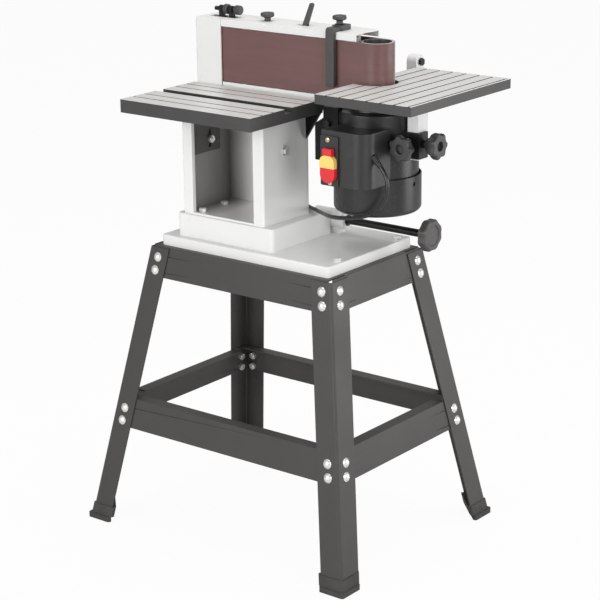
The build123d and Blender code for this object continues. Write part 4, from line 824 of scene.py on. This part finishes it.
# Strain relief: a moulded rubber sleeve with ribs, tapered towards the cord,
# pushed into the switch box's right face and pointing down at 45 degrees.
cord_rubber = coated("cord_rubber", color=(0.013, 0.013, 0.013), contrast=0.10, rough=0.27,
                     grain_scale=900.0, grain_depth=0.02 * mm, scuff=1.4)
gland_way = unit((1.0, 0.0, -1.0))
gland_seat = np.array((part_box("switch_box")[1].x, -62.0 * mm, 761.6 * mm))
gland_length = 14.0 * mm
sleeve_start = -3.0
sleeve_end = 20.0
sleeve_rows = 70
sleeve_radii = (7.0, 4.7)
rib_depth = 0.55
rib_spacing = 3.4
sleeve_along = np.linspace(sleeve_start, sleeve_end, sleeve_rows)
sleeve_taper = np.interp(sleeve_along, (sleeve_start, sleeve_end), sleeve_radii)
sleeve_radius = sleeve_taper - rib_depth * raised_cosine(2 * pi * sleeve_along / rib_spacing)
sleeve_side = np.stack([sleeve_along, sleeve_radius, np.zeros(sleeve_rows)], axis=1)
sleeve_ends = sleeve_side[[0, -1]] * (1, 0, 1)
sleeve_profile = np.vstack([sleeve_ends[:1], sleeve_side, sleeve_ends[1:]])
sleeve_grid = revolved(sleeve_profile, gland_seat, gland_way, plain_rim)
sleeve = piece("cord_sleeve", sleeve_grid, cord_rubber, "arm")
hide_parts("strain_relief")

# Cord: a round black rubber lead from the sleeve, down past the motor and over the step to behind
# the pedestal. The rest is wound into a coil that stands on the base plate, held by a tie, with its
# plug beside it. The X of its points counts from the base casting's middle.
cord_r = 3.75 * mm
straight_run = 19.0 * mm
base_low, base_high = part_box("base_casting")
base_middle = np.array(((base_low.x + base_high.x) / 2, 0.0, 0.0))
cord_exit = gland_seat + gland_way * gland_length
straight_out = cord_exit + gland_way * straight_run
arm_points = np.array([
    (281.0, -64.2, 718.6), (278.6, -66.6, 695.0), (266.5, -68.2, 675.0), (246.5, -68.5, 660.0),
    (218.5, -65.8, 650.5), (188.0, -61.5, 643.6), (158.0, -53.8, 638.6), (131.0, -39.5, 634.4),
    (110.5, -23.2, 631.0), (90.7, -7.2, 627.9), (71.4, 8.4, 624.8), (54.3, 22.2, 622.1),
]) * mm
base_points = np.array([
    (26.0, 40.8, 618.6), (3.0, 57.0, 618.6), (-16.0, 73.0, 617.2), (-34.0, 88.0, 608.0),
    (-50.0, 100.0, 594.5), (-66.0, 110.6, 582.0), (-83.5, 117.5, 574.8), (-98.5, 121.2, 572.75),
]) * mm
coil_turns = 5
coil_r = 39.5 * mm
coil_pitch = 8.0 * mm
coil_steps = 14
coil_middle = np.array((-120.0, 120.5, 612.25)) * mm
coil_turn = np.arange(coil_turns * coil_steps + 1) / coil_steps
coil_angle = 2 * pi * coil_turn
# A smooth line led by control points on a circle runs inside them, so they stand out by this share.
coil_reach = coil_r * 8 / (6 + 2 * cos(2 * pi / coil_steps))
coil_points = coil_middle + np.stack([
    -coil_reach * np.sin(coil_angle), -coil_pitch * coil_turn, -coil_reach * np.cos(coil_angle),
], axis=1)
coil_points[[0, -1], 2] = coil_middle[2] - coil_r
tail_points = coil_points[-1] - np.array([(10.0, 0.3, 0.0), (20.0, 0.6, 0.0)]) * mm
onward = np.vstack([arm_points, base_points, coil_points, tail_points]) + base_middle
route = np.vstack([cord_exit, straight_out, onward])

route_curve = bpy.data.curves.new("cord_route", "CURVE")
route_curve.dimensions = "3D"
route_line = route_curve.splines.new("NURBS")
route_line.points.add(len(route) - 1)
route_line.points.foreach_set("co", np.hstack([route, np.ones((len(route), 1))]).ravel())
route_line.order_u = 3
route_line.use_endpoint_u = True
route_line.resolution_u = 8
route_holder = bpy.data.objects.new("cord_route", route_curve)
route_mesh = bpy.data.meshes.new_from_object(route_holder)
cord_path = np.empty(len(route_mesh.vertices) * 3)
route_mesh.vertices.foreach_get("co", cord_path)
cord_path = cord_path.reshape(-1, 3)
bpy.data.objects.remove(route_holder)
bpy.data.curves.remove(route_curve)
bpy.data.meshes.remove(route_mesh)


def tube_along(path, radius, columns=16):
    """Circles square to a path, each turned from the path's way and the Y axis. The ends close to
    a point."""
    way = np.gradient(path, axis=0)
    way /= np.linalg.norm(way, axis=1, keepdims=True)
    side = np.cross(way, (0.0, 1.0, 0.0))
    side /= np.linalg.norm(side, axis=1, keepdims=True)
    up = np.cross(side, way)
    angles = turn_angles(columns)[:, None]
    rings = path[:, None] + radius * (np.cos(angles) * side[:, None] + np.sin(angles) * up[:, None])
    ends = np.repeat(path[[0, -1], None], columns, axis=1)
    return np.concatenate([ends[:1], rings, ends[1:]])


cord = piece("mains_cord", tube_along(cord_path, cord_r), cord_rubber, None)
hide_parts("cord_arm", "cord_base", "cord_coil")
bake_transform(cord)

# Tie: a soft black strap closed round the five turns at the top of the coil.
# Its flat section is carried round two half circles with straight runs between them.
tie_columns = 40
tie_half = 16.0 * mm
tie_width = 9.0 * mm
tie_slack = 0.3 * mm
tie_thickness = 1.2 * mm
tie_side = tie_width / 2
tie_inner = cord_r + tie_slack
tie_outer = tie_inner + tie_thickness
tie_section = np.array([
    (-tie_side, tie_inner), (tie_side, tie_inner), (tie_side, tie_outer), (-tie_side, tie_outer),
    (-tie_side, tie_inner),
])
tie_across, tie_reach = tie_section.T[..., None]
tie_angles = turn_angles(tie_columns) + pi / tie_columns
tie_middle = coil_middle + base_middle + (0.0, -coil_pitch * coil_turns / 2, coil_r)
tie_grid = tie_middle + np.stack([
    tie_across + np.zeros(tie_columns),
    tie_half * np.sign(np.cos(tie_angles)) + tie_reach * np.cos(tie_angles),
    tie_reach * np.sin(tie_angles),
], axis=-1)
tie = piece("cord_tie", tie_grid, boot_rubber, "stand")


# Plug: a moulded body in black rubber with three nickel blades,
# on the cord's far end beside the coil.
def plug_finish():
    """Cord rubber, with bright metal past the plug's flat face."""
    blade_length = 18.0 * mm
    face_skin = 0.2 * mm
    nickel = (0.62, 0.60, 0.56, 1.0)
    material = coated("plug_finish", color=(0.018, 0.018, 0.018), contrast=0.10, rough=0.42,
                      grain_scale=700.0, grain_depth=0.04 * mm)
    tree = material.node_tree
    shader = tree.nodes["Principled BSDF"]
    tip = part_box("plug")[0].x
    blade = within(tree, split_place(tree)["X"], tip - blade_length, tip + blade_length - face_skin)
    rubber = shader.inputs["Base Color"].links[0].from_socket
    tree.links.new(mixed(tree, blade, rubber, nickel), shader.inputs["Base Color"])
    tree.links.new(blade, shader.inputs["Metallic"])
    return material


dress(plug_finish(), "plug", edge=0.5 * mm)
